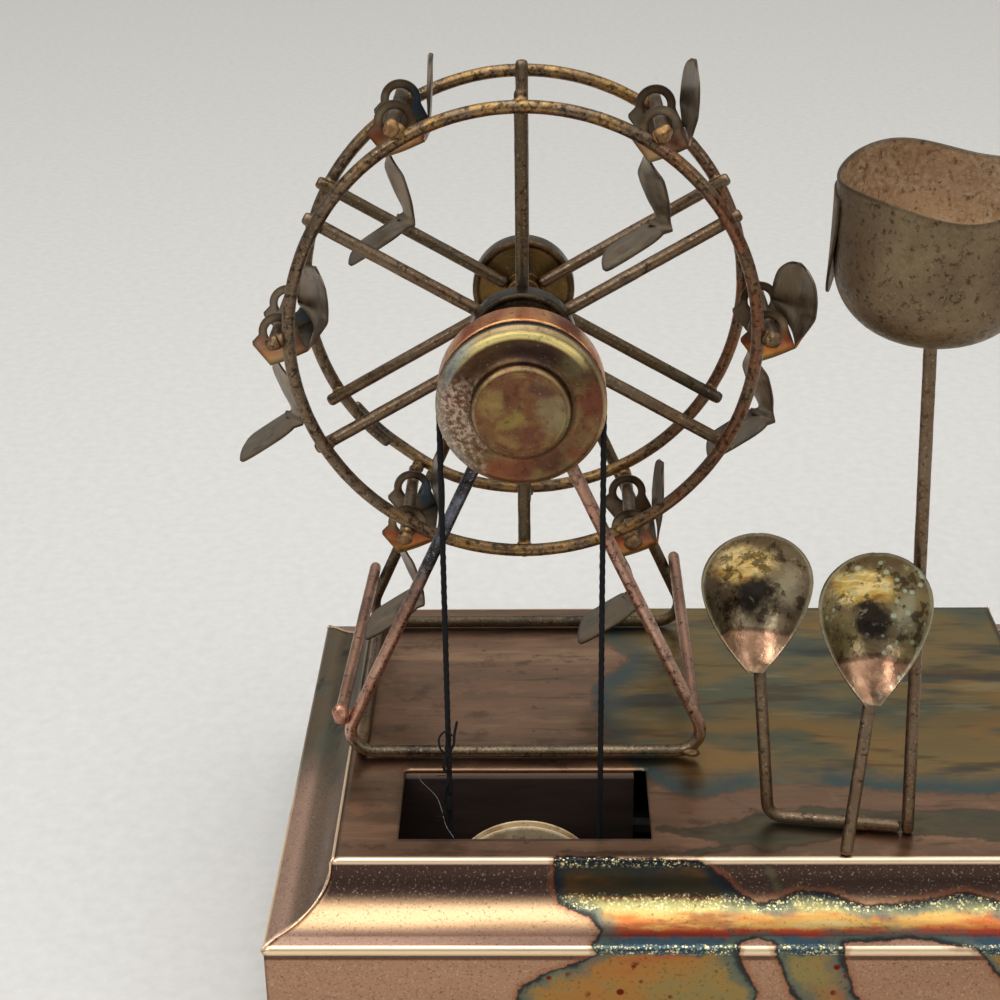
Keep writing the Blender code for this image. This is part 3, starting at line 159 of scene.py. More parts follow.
class Graph:
    """Builds the nodes of a new material, or of the world.

    A material's colour is laid on in turns.
    """

    def __init__(self, owner, coords="Object"):
        if isinstance(owner, str):
            owner = bpy.data.materials.new(owner)
        owner.use_nodes = True
        self.owner = owner
        self.tree = owner.node_tree
        self.place = self.add("ShaderNodeTexCoord", {}, coords)
        self.colour = None

    def add(self, kind, inputs, output=0, **settings):
        """One of the outputs of a new node with its inputs fed."""
        made = self.tree.nodes.new(kind)
        for key, value in settings.items():
            setattr(made, key, value)
        for key, value in inputs.items():
            self.feed(made.inputs[key], value)
        return Value(self, made.outputs[output])

    def feed(self, socket, value):
        if isinstance(value, Value):
            self.tree.links.new(value.socket, socket)
        elif socket.type == 'RGBA':
            socket.default_value = (*rgb(*value), 1)
        else:
            socket.default_value = value

    def math(self, operation, a, b=0.0, c=0.0):
        return self.add("ShaderNodeMath", {0: a, 1: b, 2: c},
                        operation=operation)

    def noise(self, scale, detail=3.0, rough=0.5, stretch=(1, 1, 1),
              seed=0.0):
        vector = self.place
        if stretch != (1, 1, 1):
            vector = self.stretched(stretch)
        return self.add("ShaderNodeTexNoise", {
            "Vector": vector, "Scale": scale, "Detail": detail,
            "Roughness": rough, "W": seed}, noise_dimensions='4D')

    def drift(self, reach, *kind, **seed):
        """Noise from minus to plus half the reach."""
        return self.math('MULTIPLY_ADD', self.noise(*kind, **seed), reach,
                         -reach / 2)

    def stretched(self, by):
        return self.add("ShaderNodeVectorMath", {0: self.place, 1: by},
                        operation='MULTIPLY')

    def marked(self, name):
        """A number that the mesh keeps for each vertex."""
        return self.add("ShaderNodeAttribute", {}, "Fac", attribute_name=name)

    def axis(self, which):
        return self.add("ShaderNodeSeparateXYZ", {0: self.place}, which)

    def mm(self, which, origin=0.0):
        """Millimetres along an axis from an origin."""
        return self.math('MULTIPLY_ADD', self.axis(which), 1000,
                         -1000 * origin)

    def bump(self, height, distance, strength=1.0, after=None):
        inputs = {"Height": height, "Distance": distance,
                  "Strength": strength}
        if after is not None:
            inputs["Normal"] = after
        return self.add("ShaderNodeBump", inputs)

    def mix(self, share, a, b):
        return self.add("ShaderNodeMix", {0: share, 6: a, 7: b}, 2,
                        data_type='RGBA')

    def lay(self, share, tone):
        """Lay a tone or a colour over what is there."""
        self.colour = self.mix(share, self.colour, tone)

    def stain(self, tone, reach, *kind, **seed):
        """Lay a tone where a noise runs from low to high, up to a share."""
        low, high, most = reach
        self.lay(self.noise(*kind, **seed).spread(low, high, 0, most), tone)

    def finish(self, roughness, metallic=1.0, normal=None):
        shader = self.tree.nodes["Principled BSDF"]
        for key, value in (("Base Color", self.colour),
                           ("Roughness", roughness),
                           ("Metallic", metallic), ("Normal", normal)):
            if value is not None:
                self.feed(shader.inputs[key], value)
        return self.owner


# Metals

def oxidised(g, tones, seed=0.0, dark=(48, 38, 30), pale=(186, 166, 134),
             broad=44):
    """The colour of torch-darkened copper: tones, pits and bare grains."""
    g.colour = g.noise(broad, 4, 0.6, seed=seed).ramp(even_stops(tones))
    g.stain(dark, (0.52, 0.66, 0.85), 620, 5, 0.7, seed=seed + 3)
    g.stain(pale, (0.57, 0.70, 0.60), 1500, 3, 0.6, seed=seed + 6)
    return g.colour


def worn(g, rough, seed=0.0, depth=1.0):
    """Finish a metal with an uneven, pitted surface."""
    pits = g.noise(900, 4, 0.65, seed=seed + 21)
    normal = g.bump(g.noise(160, 4, 0.6, seed=seed + 20), 0.0005 * depth,
                    0.45)
    return g.finish(pits.spread(0.3, 0.7, rough - 0.08, rough + 0.20), 1.0,
                    g.bump(pits, 0.00012 * depth, 0.7, normal))


def rod_metal(name, tones, seed=0.0, rough=0.36):
    g = Graph(name)
    oxidised(g, tones, seed)
    return worn(g, rough, seed)


BROWN_ROD = ((78, 70, 60), (122, 103, 83), (112, 91, 71), (146, 119, 86))
ROD = rod_metal("antique_rod", BROWN_ROD)
ROD_DARK = rod_metal("sooty_rod", (
    (56, 52, 45), (94, 82, 66), (104, 86, 64), (76, 67, 54)), 4.0, 0.40)
ROD_PINK = rod_metal("pink_rod", (
    (108, 80, 68), (158, 120, 102), (176, 136, 114), (128, 94, 76)), 8.0)
INSIDE_COPPER = rod_metal("dull_copper", (
    (30, 24, 20), (48, 38, 30), (40, 31, 25), (60, 46, 36)), 69.0, 0.6)
SEAM = rod_metal("bright_seam", (
    (196, 160, 128), (240, 206, 172), (250, 222, 190), (220, 184, 148)),
    66.0, 0.26)
SOLDER_PINK = rod_metal("pink_solder", (
    (128, 88, 72), (186, 132, 108), (204, 156, 130), (120, 84, 68)), 68.0)
SOLDER = rod_metal("solder", (
    (84, 68, 54), (126, 100, 74), (158, 122, 80), (104, 80, 62)), 67.0, 0.42)


def ring_metal():
    """The rings: grey at the left, redder at the right, with painted gold highlights high and
    low on the wheel.
    """
    g = Graph("ring_rod")
    up = g.mm(2, AXLE.z)
    oxidised(g, BROWN_ROD, 12.0)
    # Painted gold highlights, in patches, high and low on the wheel
    gold = up.spread(34, 54).most(up.spread(-40, -54)) \
        * g.noise(110, 4, 0.65, seed=14.0).spread(0.42, 0.60)
    g.lay(gold * 0.45, (198, 154, 84))
    red = g.mm(0, WHEEL_X).spread(18, 44) \
        * g.noise(90, 3, 0.6, seed=15.0).spread(0.34, 0.60)
    g.lay(red * 0.6, (136, 84, 58))
    g.stain((58, 46, 36), (0.50, 0.62, 0.85), 700, 4, 0.65, seed=16.0)
    return worn(g, 0.33, 12.0, 1.2)


def front_frame_metal():
    """The front frame: silver-blue and black high on the left, partly tarnish and partly a
    painted highlight, pink below.
    """
    g = Graph("front_frame_rod")
    across, up = g.mm(0, WHEEL_X), g.mm(2, PLATE_Z)
    pink = oxidised(g, ((134, 100, 84), (182, 140, 120), (204, 166, 144),
                        (150, 112, 92)), 24.0, (56, 36, 30), (222, 190, 168))
    # Silver-blue tones for high on the left leg: partly tarnish, partly a painted highlight
    silver = oxidised(g, ((46, 44, 48), (110, 112, 124), (60, 56, 58),
                          (168, 168, 176)), 26.0, (26, 24, 26),
                      (206, 208, 216), 70)
    dark = oxidised(g, ((70, 62, 54), (112, 98, 80), (132, 114, 90),
                        (88, 76, 62)), 29.0)
    high = (up + g.drift(30, 60, 3, 0.5, seed=27.0)).spread(40, 56)
    g.colour = g.mix(high * across.spread(6, -6), pink, silver)
    scorched = g.noise(85, 4, 0.6, seed=28.0).spread(0.50, 0.58)
    g.lay(scorched * across.spread(-6, 6) * 0.7, (70, 50, 44))
    g.lay(up.spread(9, 4), dark)
    return worn(g, 0.30, 24.0)


RING_METAL = ring_metal()
FRONT_FRAME = front_frame_metal()


def sheet_metal(name, stops, seed, rough):
    """Sheet with heat tints in flowing bands."""
    g = Graph(name)
    field = g.noise(60, 4, 0.55, seed=seed) * 0.8 \
        + g.noise(156, 3, 0.5, seed=seed + 2) * 0.2
    g.colour = field.ramp(stops)
    g.stain((60, 46, 36), (0.62, 0.70, 0.6), 1300, 2, 0.5, seed=seed + 7)
    scratch = g.noise(300, 4, 0.7, (1, 1, 6), seed + 11)
    normal = g.bump(g.noise(90, 2, 0.4, seed=seed + 13), 0.0010, 0.25)
    return g.finish(scratch.spread(0.3, 0.7, rough - 0.08, rough + 0.16), 1.0,
                    g.bump(scratch, 0.00008, 0.5, normal))


BRASS = sheet_metal("aged_brass", [
    (0.30, (110, 84, 48)), (0.45, (168, 136, 84)),
    (0.58, (196, 168, 110)), (0.72, (150, 104, 66))], 2.0, 0.28)
DARK_BRONZE = sheet_metal("dark_bronze", [
    (0.30, (46, 44, 36)), (0.48, (78, 66, 48)),
    (0.60, (110, 84, 54)), (0.74, (66, 74, 62))], 6.0, 0.40)
STEEL = sheet_metal("bright_steel", [
    (0.3, (150, 150, 148)), (0.7, (200, 198, 194))], 9.0, 0.30)
CAST = sheet_metal("cast_zinc", [
    (0.3, (28, 27, 26)), (0.7, (46, 44, 42))], 10.0, 0.65)
# A darker copy of the bright steel: painted shade for the movement's parts inside the base
SHADED_STEEL = sheet_metal("shaded_steel", [
    (0.3, (44, 42, 40)), (0.7, (72, 70, 66))], 11.0, 0.45)

# How far each seat's ears are tinted warm at the front and blue behind
WARM_EARS = (0.9, 0.35, 0.55, 0.45, 0.75, 0.9)
BLUE_EARS = (0.1, 0.0, 0.9, 0.7, 0.9, 0.0)


def seat_metal(index):
    """Taupe sheet with heat tints on its ears, a little unlike the next."""
    g = Graph(f"tinted_seat_{index}")
    seed = 30.0 + 5 * index
    along, deep, up = (g.mm(axis) for axis in range(3))
    g.colour = g.noise(75, 4, 0.55, seed=seed).ramp([
        (0.30, (104, 97, 89)), (0.44, (130, 117, 101)),
        (0.56, (142, 125, 103)), (0.70, (118, 99, 80))])
    shake = g.drift(6, 260, 3, 0.6, seed=seed + 1)
    level = up + shake
    ears = level.spread(-13, -10) \
        * g.math('ABSOLUTE', deep).spread(8.6, 10.4)
    tint = level.spread(-10.5, 5.0).ramp([
        (0.0, (222, 176, 92)), (0.22, (206, 122, 54)), (0.42, (150, 62, 38)),
        (0.60, (120, 84, 52)), (0.80, (132, 116, 88)), (1.0, (96, 80, 62))])
    g.lay(ears * deep.spread(2, -2) * WARM_EARS[index - 1], tint)
    blue = ears * deep.spread(2, 6) * (along + shake * 0.6).spread(0.5, 3.0)
    g.lay(blue * BLUE_EARS[index - 1] * level.band(-8, -4, 1, 4),
          (88, 118, 142))
    g.stain((84, 66, 48), (0.54, 0.64, 0.55), 150, 4, 0.6, seed=seed + 2)
    brush = g.noise(380, 4, 0.7, (0.25, 1, 0.25), seed + 3)
    g.lay(brush.spread(0.52, 0.68, 0, 0.35), (184, 170, 146))
    g.lay(g.marked("edge") * 0.7, (60, 48, 38))
    normal = g.bump(g.noise(110, 2, 0.5, seed=seed + 4), 0.0008, 0.22)
    return g.finish(brush.spread(0.3, 0.7, 0.30, 0.46), 1.0,
                    g.bump(brush, 0.00005, 0.6, normal))


SEAT_METAL = [seat_metal(index) for index in range(1, 7)]


def scuffs(g, seed):
    """Faint dents, brush marks and grain of worn sheet."""
    normal = None
    for kind, distance, strength in (
            ((45, 2, 0.5, (1, 1, 1), seed), 0.0009, 0.16),
            ((500, 4, 0.7, (0.05, 1, 1), seed + 1), 0.00004, 0.6),
            ((2600, 2, 0.5, (1, 1, 1), seed + 2), 0.00004, 0.6)):
        normal = g.bump(g.noise(*kind), distance, strength, normal)
    return normal


def oval(g, across, up, place, reach):
    """Distance from a place, 1 at the edge of an oval, in millimetres."""
    x = (across - place[0]) / reach[0]
    z = (up - place[1]) / reach[1]
    return g.math('SQRT', x * x + z * z)


def specks(g, scale, size, seed=0.0):
    """Small scattered crumbs, 1 inside them."""
    dots = g.add("ShaderNodeTexVoronoi", {"Vector": g.place, "Scale": scale},
                 "Distance")
    some = g.noise(scale * 0.35, 2, 0.5, seed=seed).spread(0.46, 0.54)
    return dots.spread(size * 0.6, size, 1, 0) * some


def plain_copper(g, back, along, glow_tone, shade_tone):
    """Bare sheet: brown on the plate, with painted shade high in the cove, a painted highlight
    band below it, painted highlights on the crease and the lip, and painted shade under the lip.
    """
    streak = g.noise(70, 5, 0.62, along, 2.0)
    g.colour = streak.ramp([
        (0.32, (92, 74, 60)), (0.44, (126, 100, 80)), (0.56, (140, 108, 86)),
        (0.68, (168, 134, 106))])
    g.stain((84, 72, 58), (0.54, 0.70, 0.6), 320, 4, 0.6, along, 3.0)
    g.stain((92, 84, 68), (0.54, 0.68, 0.45), 30, 4, 0.6, (0.5, 1, 1), 2.5)
    for tone, reach in (((164, 124, 98), (0.54, 0.66, 0.55)),
                        ((84, 66, 54), (0.45, 0.34, 0.6))):
        g.stain(tone, reach, 110, 5, 0.7, (0.7, 1, 1), 2.8)
    g.stain((66, 50, 40), (0.63, 0.70, 0.7), 420, 4, 0.7, (0.6, 1, 1), 3.5)
    plate = g.colour
    g.colour = g.noise(34, 3, 0.5, along, 4.0).ramp([
        (0.35, (158, 120, 94)), (0.65, (180, 140, 112))], False)
    g.lay(back.spread(-23.5, -22.5), (188, 152, 132))
    # Painted highlight band across the cove's middle, and painted shade in its upper half
    glow = back + (streak - 0.5) * 3.0
    g.lay(glow.spread(-19.4, -16.8), glow_tone)
    g.lay(glow.spread(-13.0, -8.8), shade_tone)
    grain = g.noise(1700, 3, 0.6, seed=5.0)
    g.lay(grain.spread(0.58, 0.68, 0, 0.5), (212, 192, 166))
    g.lay(grain.spread(0.44, 0.34, 0, 0.55), (62, 46, 38))
    g.lay(back.spread(-0.4, 0.4), plate)
    # Painted highlights along the crease and the lip, and painted shade just under the lip
    g.lay(back.band(-2.2, -1.4, -0.1, 0.5), (250, 220, 186))
    g.lay(back.band(-26.2, -25.2, -23.4, -22.9), (250, 222, 186))
    g.lay(back.band(-27.6, -27.0, -26.2, -25.8) * 0.75, (60, 42, 34))


def film_tint(g, film, back):
    """Olive and teal film over the right of the plate."""
    g.colour = g.noise(34, 4, 0.55, (0.42, 1, 1), 8.0).ramp([
        (0.30, (74, 86, 86)), (0.41, (104, 106, 86)), (0.50, (136, 116, 76)),
        (0.59, (150, 118, 72)), (0.66, (106, 104, 80)),
        (0.74, (74, 92, 94))])
    g.stain((66, 74, 72), (0.54, 0.64, 0.8), 60, 3, 0.55, (0.3, 1.3, 1), 9.0)
    for tone, reach in (((84, 66, 48), (0.54, 0.66, 0.6)),
                        ((156, 146, 112), (0.44, 0.34, 0.5))):
        g.stain(tone, reach, 150, 4, 0.6, (0.2, 1.2, 1), 9.5)
    rim = film.spread(2.0, 13.0, 1, 0) \
        * g.noise(40, 3, 0.5, seed=10.0).spread(0.35, 0.55, 0.5, 1.0)
    g.lay(rim, (80, 92, 90))
    g.lay(back.spread(38, 84, 0, 0.45), (74, 58, 44))
    return g.colour


def flow_tint(g, flow, back, wave):
    """Tints that ran down the cove and the wall, lightened by a painted highlight across the
    cove's middle and darkened by painted shade in its upper half.
    """
    g.colour = g.noise(75, 4, 0.6, (0.22, 1, 1), 11.0).ramp([
        (0.30, (196, 178, 128)), (0.40, (190, 150, 84)),
        (0.47, (182, 106, 58)), (0.52, (138, 62, 44)), (0.57, (186, 112, 58)),
        (0.64, (192, 150, 82)), (0.76, (194, 178, 124))])
    g.stain((128, 74, 48), (0.52, 0.64, 0.7), 260, 4, 0.65, (0.25, 1, 1),
            11.5)
    bright = g.colour
    # Darker tints for the patch's painted shade in the cove's upper half
    shade = g.noise(60, 4, 0.6, (0.3, 1, 1), 12.0).ramp([
        (0.34, (48, 54, 50)), (0.48, (64, 56, 42)), (0.60, (104, 72, 44)),
        (0.70, (58, 62, 54))])
    g.colour = g.noise(46, 4, 0.6, (0.5, 1, 1), 13.0).ramp([
        (0.30, (120, 128, 106)), (0.45, (144, 130, 82)),
        (0.56, (170, 122, 66)), (0.66, (176, 92, 60)),
        (0.76, (132, 120, 84))])
    place = back + wave * 5.0
    g.lay(place.spread(-26.5, -25.0), (62, 84, 96))
    g.lay(place.spread(-21.5, -19.0), (168, 70, 48))
    # Painted highlight: the bright tints across the cove's middle; painted shade: the darker
    # tints above them
    g.lay(place.spread(-19.0, -17.4), bright)
    g.lay(place.band(-15.0, -12.6, -11.0, -9.6), (176, 166, 108))
    g.lay(place.spread(-11.2, -9.2), shade)
    g.lay(place.spread(-3.4, -1.6), (40, 46, 56))
    thin = g.noise(90, 3, 0.6, seed=13.5).spread(0.35, 0.65, 0.5, 1.4)
    inner = flow / thin
    wash = g.mix(place.spread(-13, -8), (92, 104, 96), (42, 50, 54))
    g.lay(inner.spread(1.6, 5.8, 0.85, 0), wash)
    g.lay(inner.spread(0.6, 2.0, 0.85, 0), (38, 42, 48))
    g.lay(inner.spread(0.1, 0.7, 0.8, 0), (66, 42, 32))
    return g.colour, place


def cover_copper():
    """Copper sheet with the torch's tints where they flowed over it, over the plain sheet's
    painted highlights and painted shade.
    """
    g = Graph("tinted_copper_with_painted_light")
    along_x = (0.14, 1, 1)
    back = g.marked("back_mm")
    wave = g.drift(1, 190, 5, 0.68, seed=6.0)
    shake = wave * 4.2 + g.drift(1, 760, 4, 0.7, seed=7.0) * 2.2
    film = g.marked("film_mm") + shake * 1.6
    soot = g.marked("soot_mm") + shake
    flow = g.marked("flow_mm") + shake * 0.7
    tint = film_tint(g, film, back)
    tone, place = flow_tint(g, flow, back, wave)
    # The plain sheet's painted highlight tone for the cove's middle and painted shade tone for
    # its upper half
    plain_copper(g, back, along_x, (204, 166, 126), (80, 61, 54))
    g.lay(film.spread(-0.6, 1.6), tint)
    g.lay(film.band(-1.0, -0.2, 0.5, 1.4) * 0.22, (70, 62, 52))

    # Soot that ran between the flowers' feet and the front edge
    sooty = g.noise(120, 4, 0.6, (0.4, 1, 1), 8.5).ramp([
        (0.35, (72, 68, 56)), (0.5, (104, 92, 72)),
        (0.65, (86, 84, 70))], False)
    g.lay(soot.spread(-0.5, 0.9), sooty)
    g.lay(soot.band(-0.6, -0.1, 0.3, 0.9) * 0.35, (58, 52, 46))

    g.lay(flow.spread(-0.5, 0.35), tone)
    g.lay(flow.band(-1.6, -0.6, -0.3, 0.2) * 0.4, (150, 92, 62))
    dust = g.noise(1100, 4, 0.7, seed=13.8).spread(0.55, 0.66, 0, 0.5)
    g.lay(dust * flow.spread(0.1, 0.6), (52, 44, 38))
    edges = back.band(-3.2, -1.8, -0.2, 0.3) \
        .most(back.band(-26.2, -25.0, -23.0, -22.4)) \
        .most(place.band(-13.5, -12.5, -10.0, -9.0))
    frost = g.noise(1500, 4, 0.75, seed=14.8).spread(0.55, 0.63, 0, 0.7)
    crumbs = specks(g, 1500, 0.46, 14.0).most(
        specks(g, 800, 0.34, 14.5) * 0.8).most(frost)
    g.lay(crumbs * edges * flow.spread(0.2, 0.8), (236, 222, 166))
    spots = specks(g, 260, 0.30, 15.0) * back.band(-48, -44, -29, -27)
    g.lay(spots * flow.spread(0.6, 1.4), (110, 34, 22))
    roughness = g.noise(140, 4, 0.6, along_x, 16.0)
    return g.finish(roughness.spread(0.3, 0.7, 0.27, 0.42), 1.0,
                    scuffs(g, 17.0))


def end_copper():
    """The end panels, dirtied with green and brown runs, over a faint painted highlight band and
    painted shade in the cove.
    """
    g = Graph("streaked_copper_with_painted_light")
    # Faint painted highlight tone and painted shade tone for the cove
    plain_copper(g, g.marked("back_mm"), (1, 0.2, 1), (146, 120, 100),
                 (122, 98, 80))
    dirt = g.noise(38, 5, 0.62, (1, 0.45, 0.8), 21.0)
    rear = (g.mm(1) + (dirt * 60 - 30)).spread(-22, 6)
    green = g.noise(80, 4, 0.62, (1, 0.3, 1), 21.5).ramp([
        (0.34, (58, 54, 42)), (0.48, (96, 86, 62)),
        (0.60, (84, 92, 78)), (0.72, (122, 98, 76))])
    g.lay(rear * 0.85, green)
    g.lay(dirt.spread(0.50, 0.62, 0, 0.75), (100, 90, 70))
    g.stain((60, 52, 40), (0.56, 0.64, 0.9), 75, 4, 0.6, (1, 0.5, 0.6), 22.0)
    return g.finish(dirt.spread(0.3, 0.7, 0.30, 0.48), 1.0, scuffs(g, 23.0))


COPPER = cover_copper()
END_COPPER = end_copper()


def plain(name, dark, light, scale, rough, shine=0.5):
    """A matt material with grain."""
    g = Graph(name)
    shader = g.tree.nodes["Principled BSDF"]
    shader.inputs["Specular IOR Level"].default_value = shine
    grain = g.noise(scale, 5, 0.6)
    g.colour = grain.ramp([(0.3, dark), (0.7, light)], False)
    return g.finish(rough, 0.0, g.bump(grain, 0.0003, 0.6))


def board():
    """The board's dark wood, with a painted highlight along its top edge."""
    g = Graph("dark_board")
    grain = g.noise(160, 5, 0.6, (0.2, 1, 1))
    g.colour = grain.ramp([(0.3, (22, 14, 11)), (0.7, (50, 33, 25))], False)
    (_, near, _), (_, far, crest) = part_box("movement_board")
    # Painted highlight along the board's top edge, strongest toward its back
    bare = g.axis(2).spread(crest - 1.2 * MM, crest - 0.2 * MM)
    toward_back = g.axis(1).spread(near - 0.3 * MM, near + 0.6 * (far - near))
    g.lay(bare * toward_back, (176, 142, 112))
    return g.finish(0.6, 0.0, g.bump(grain, 0.0003, 0.6))


BOARD = board()
FELT = plain("green_felt", (26, 44, 34), (46, 66, 52), 1800, 0.95)
THREAD = plain("black_thread", (10, 10, 12), (34, 32, 34), 2600, 0.8, 0.15)
HAIR = plain("pale_hair", (96, 92, 92), (140, 136, 134), 900, 0.7)


def leaf_metal(name, height, tones, seed, verdigris):
    """Hammered, torched leaf: painted shade in a dark spot in its hollow, a painted gold
    highlight above it and a pink tip.
    """
    hollow, glint_gold, rim = tones
    g = Graph(name)
    drift = g.drift(10, 120, 4, 0.65, seed=seed)
    blotch = g.drift(8, 260, 4, 0.7, seed=seed + 1)
    up = g.mm(2)
    x = g.mm(0) + drift
    z = up + blotch
    g.colour = g.mix(g.noise(130, 4, 0.6, seed=seed + 2).spread(0.38, 0.60),
                     (112, 96, 74), hollow)
    # Tones for the painted highlight in the hollow
    shine = g.noise(190, 4, 0.6, (0.6, 1, 1.6), seed + 1.5).ramp([
        (0.36, (176, 120, 60)), (0.48, glint_gold), (0.58, (250, 224, 156)),
        (0.66, glint_gold)])
    # A painted highlight high on the hollow's left, a pale patch on its right, and painted shade
    # in a dark spot at its middle
    for place, reach, edge, share, tone in (
            ((-3, 0.76 * height), (7.5, 5.5), (0.5, 1.2), 0.95, shine),
            ((7, 0.60 * height), (3.5, 6.0), (0.4, 1.2), 0.6, rim),
            ((0, 0.52 * height), (4.6, 5.2), (0.55, 1.1), 0.95,
             (42, 38, 36))):
        g.lay(oval(g, x, z, place, reach).spread(*edge, share, 0), tone)
    g.lay(z.spread(0.86 * height, 0.96 * height) * 0.7, (92, 72, 50))
    g.stain((48, 38, 28), (0.52, 0.60, 0.75), 250, 4, 0.7, seed=seed + 3)
    g.stain(rim, (0.58, 0.66, 0.55), 420, 4, 0.65, seed=seed + 4)
    foot = up + drift * 0.5
    pink = g.noise(110, 3, 0.6, seed=seed + 5).ramp([
        (0.35, (124, 92, 72)), (0.55, (162, 126, 100)),
        (0.66, (178, 142, 114))], False)
    g.lay(foot.spread(0.30 * height, 0.27 * height), pink)
    lining = foot.band(*(share * height for share in (0.26, 0.28, 0.29, 0.32)))
    g.lay(lining * 0.7, (88, 62, 46))
    if verdigris:
        g.lay(specks(g, 420, 0.34, seed + 6) * verdigris, (176, 190, 164))
    g.lay(g.marked("edge").spread(0.1, 0.8) * 0.55, rim)
    normal = g.bump(g.noise(120, 3, 0.5, seed=seed + 7), 0.0018, 0.35)
    normal = g.bump(g.noise(800, 3, 0.6, seed=seed + 8), 0.00012, 0.6,
                    normal)
    roughness = g.noise(300, 3, 0.6, seed=seed + 9)
    return g.finish(roughness.spread(0.3, 0.7, 0.22, 0.40), 1.0, normal)


LEFT_LEAF = leaf_metal("left_leaf_sheet", 33.6, (
    (122, 110, 88), (226, 186, 108), (176, 164, 134)), 70.0, 0.0)
RIGHT_LEAF = leaf_metal("right_leaf_sheet", 36.0, (
    (128, 112, 76), (214, 182, 98), (164, 160, 134)), 80.0, 0.7)


def flower_metal(name, tones, dark, pale, seed):
    """Flower sheet with a dark rim."""
    g = Graph(name)
    oxidised(g, tones, seed, dark, pale, 40)
    g.lay(g.marked("edge") * 0.7, (58, 48, 38))
    return worn(g, 0.40, seed, 1.3)


FLOWER_OUTSIDE = flower_metal("flower_outside", (
    (88, 76, 62), (116, 98, 76), (130, 112, 86), (98, 84, 66)),
    (60, 48, 36), (150, 134, 108), 90.0)
FLOWER_INSIDE = flower_metal("flower_inside", (
    (182, 156, 128), (206, 184, 158), (222, 202, 176), (190, 164, 136)),
    (124, 100, 78), (232, 218, 198), 92.0)


# Clouds of torch tints on the wheel pulley's face: place, reach, tone, share
PULLEY_CLOUDS = (
    ((2.7, 12.8), (6.5, 2.8), (58, 42, 40), 0.8),
    ((11.6, 10.5), (3.6, 3.2), (108, 102, 74), 0.55),
    ((16.8, 1.0), (2.6, 5.4), (104, 62, 48), 0.65),
    ((13.0, -8.0), (3.2, 2.8), (118, 106, 72), 0.5),
    ((6.0, -12.6), (4.4, 2.6), (90, 52, 46), 0.7),
    ((-5.0, -14.5), (5.0, 2.8), (138, 84, 58), 0.6),
    ((-7.2, 3.2), (3.4, 4.2), (146, 122, 76), 0.6),
    ((-2.6, 4.6), (3.0, 5.4), (112, 74, 56), 0.75),
    ((4.4, 6.2), (2.6, 2.8), (84, 64, 60), 0.6),
    ((-1.6, -1.4), (3.2, 3.2), (148, 130, 72), 0.7),
    ((1.2, -4.9), (4.2, 2.6), (106, 66, 54), 0.7),
    ((7.2, -0.6), (3.2, 5.6), (136, 126, 96), 0.6),
    ((-7.4, -4.4), (3.2, 4.0), (112, 78, 58), 0.65),
)


def pulley_tints_and_painted_light(g, radius, seed):
    """The wheel pulley's painted shade across its top, torch tints, painted highlights on its
    shoulder and rim, crust and drum.
    """
    across, back, up = (g.mm(axis) for axis in range(3))
    drift = g.drift(12, 160, 4, 0.6, seed=seed + 2)
    # Painted shade over the top of the face, outside the boss
    high = (up + drift).spread(2, 10)
    g.lay(high * radius.spread(11.2, 12.4) * 0.85, (72, 55, 41))
    x = across + drift * 0.7
    z = up + g.noise(190, 3, 0.6, seed=seed + 2.5) * 9.0 - 4.5
    for place, reach, tone, share in PULLEY_CLOUDS:
        g.lay(oval(g, x, z, place, reach).spread(0.45, 1.25, share, 0), tone)
    # Painted highlights: a gold one on the upper shoulder, a fainter one round the rim, and a
    # pale one on the left of the rim
    lit = (up + drift * 0.4).spread(8, 15)
    g.lay(radius.band(16.0, 17.0, 17.5, 18.4) * lit * 0.95, (250, 228, 150))
    g.lay(radius.band(18.0, 18.6, 18.9, 19.3) * 0.5, (196, 172, 128))
    left_rim_highlight = radius.band(16.4, 17.4, 18.6, 19.4) * across.spread(-8, -14)
    g.lay(left_rim_highlight * 0.6, (168, 178, 172))
    crusted = (across + drift * 1.4).spread(-7, -11) * up.spread(9, 3) \
        * radius.spread(10.4, 11.6)
    flecks = g.noise(900, 4, 0.72, seed=seed + 3)
    g.lay(crusted * flecks.spread(0.42, 0.52, 0.35, 0.95), flecks.ramp([
        (0.38, (74, 56, 48)), (0.47, (118, 94, 78)),
        (0.56, (186, 164, 144))], False))
    drum = g.noise(90, 3, 0.6, (1, 0.3, 1), seed + 4).ramp([
        (0.35, (168, 96, 66)), (0.5, (232, 172, 112)),
        (0.62, (206, 120, 78)), (0.72, (186, 150, 100))], False)
    g.lay(back.spread(-0.6, 0.6), drum)


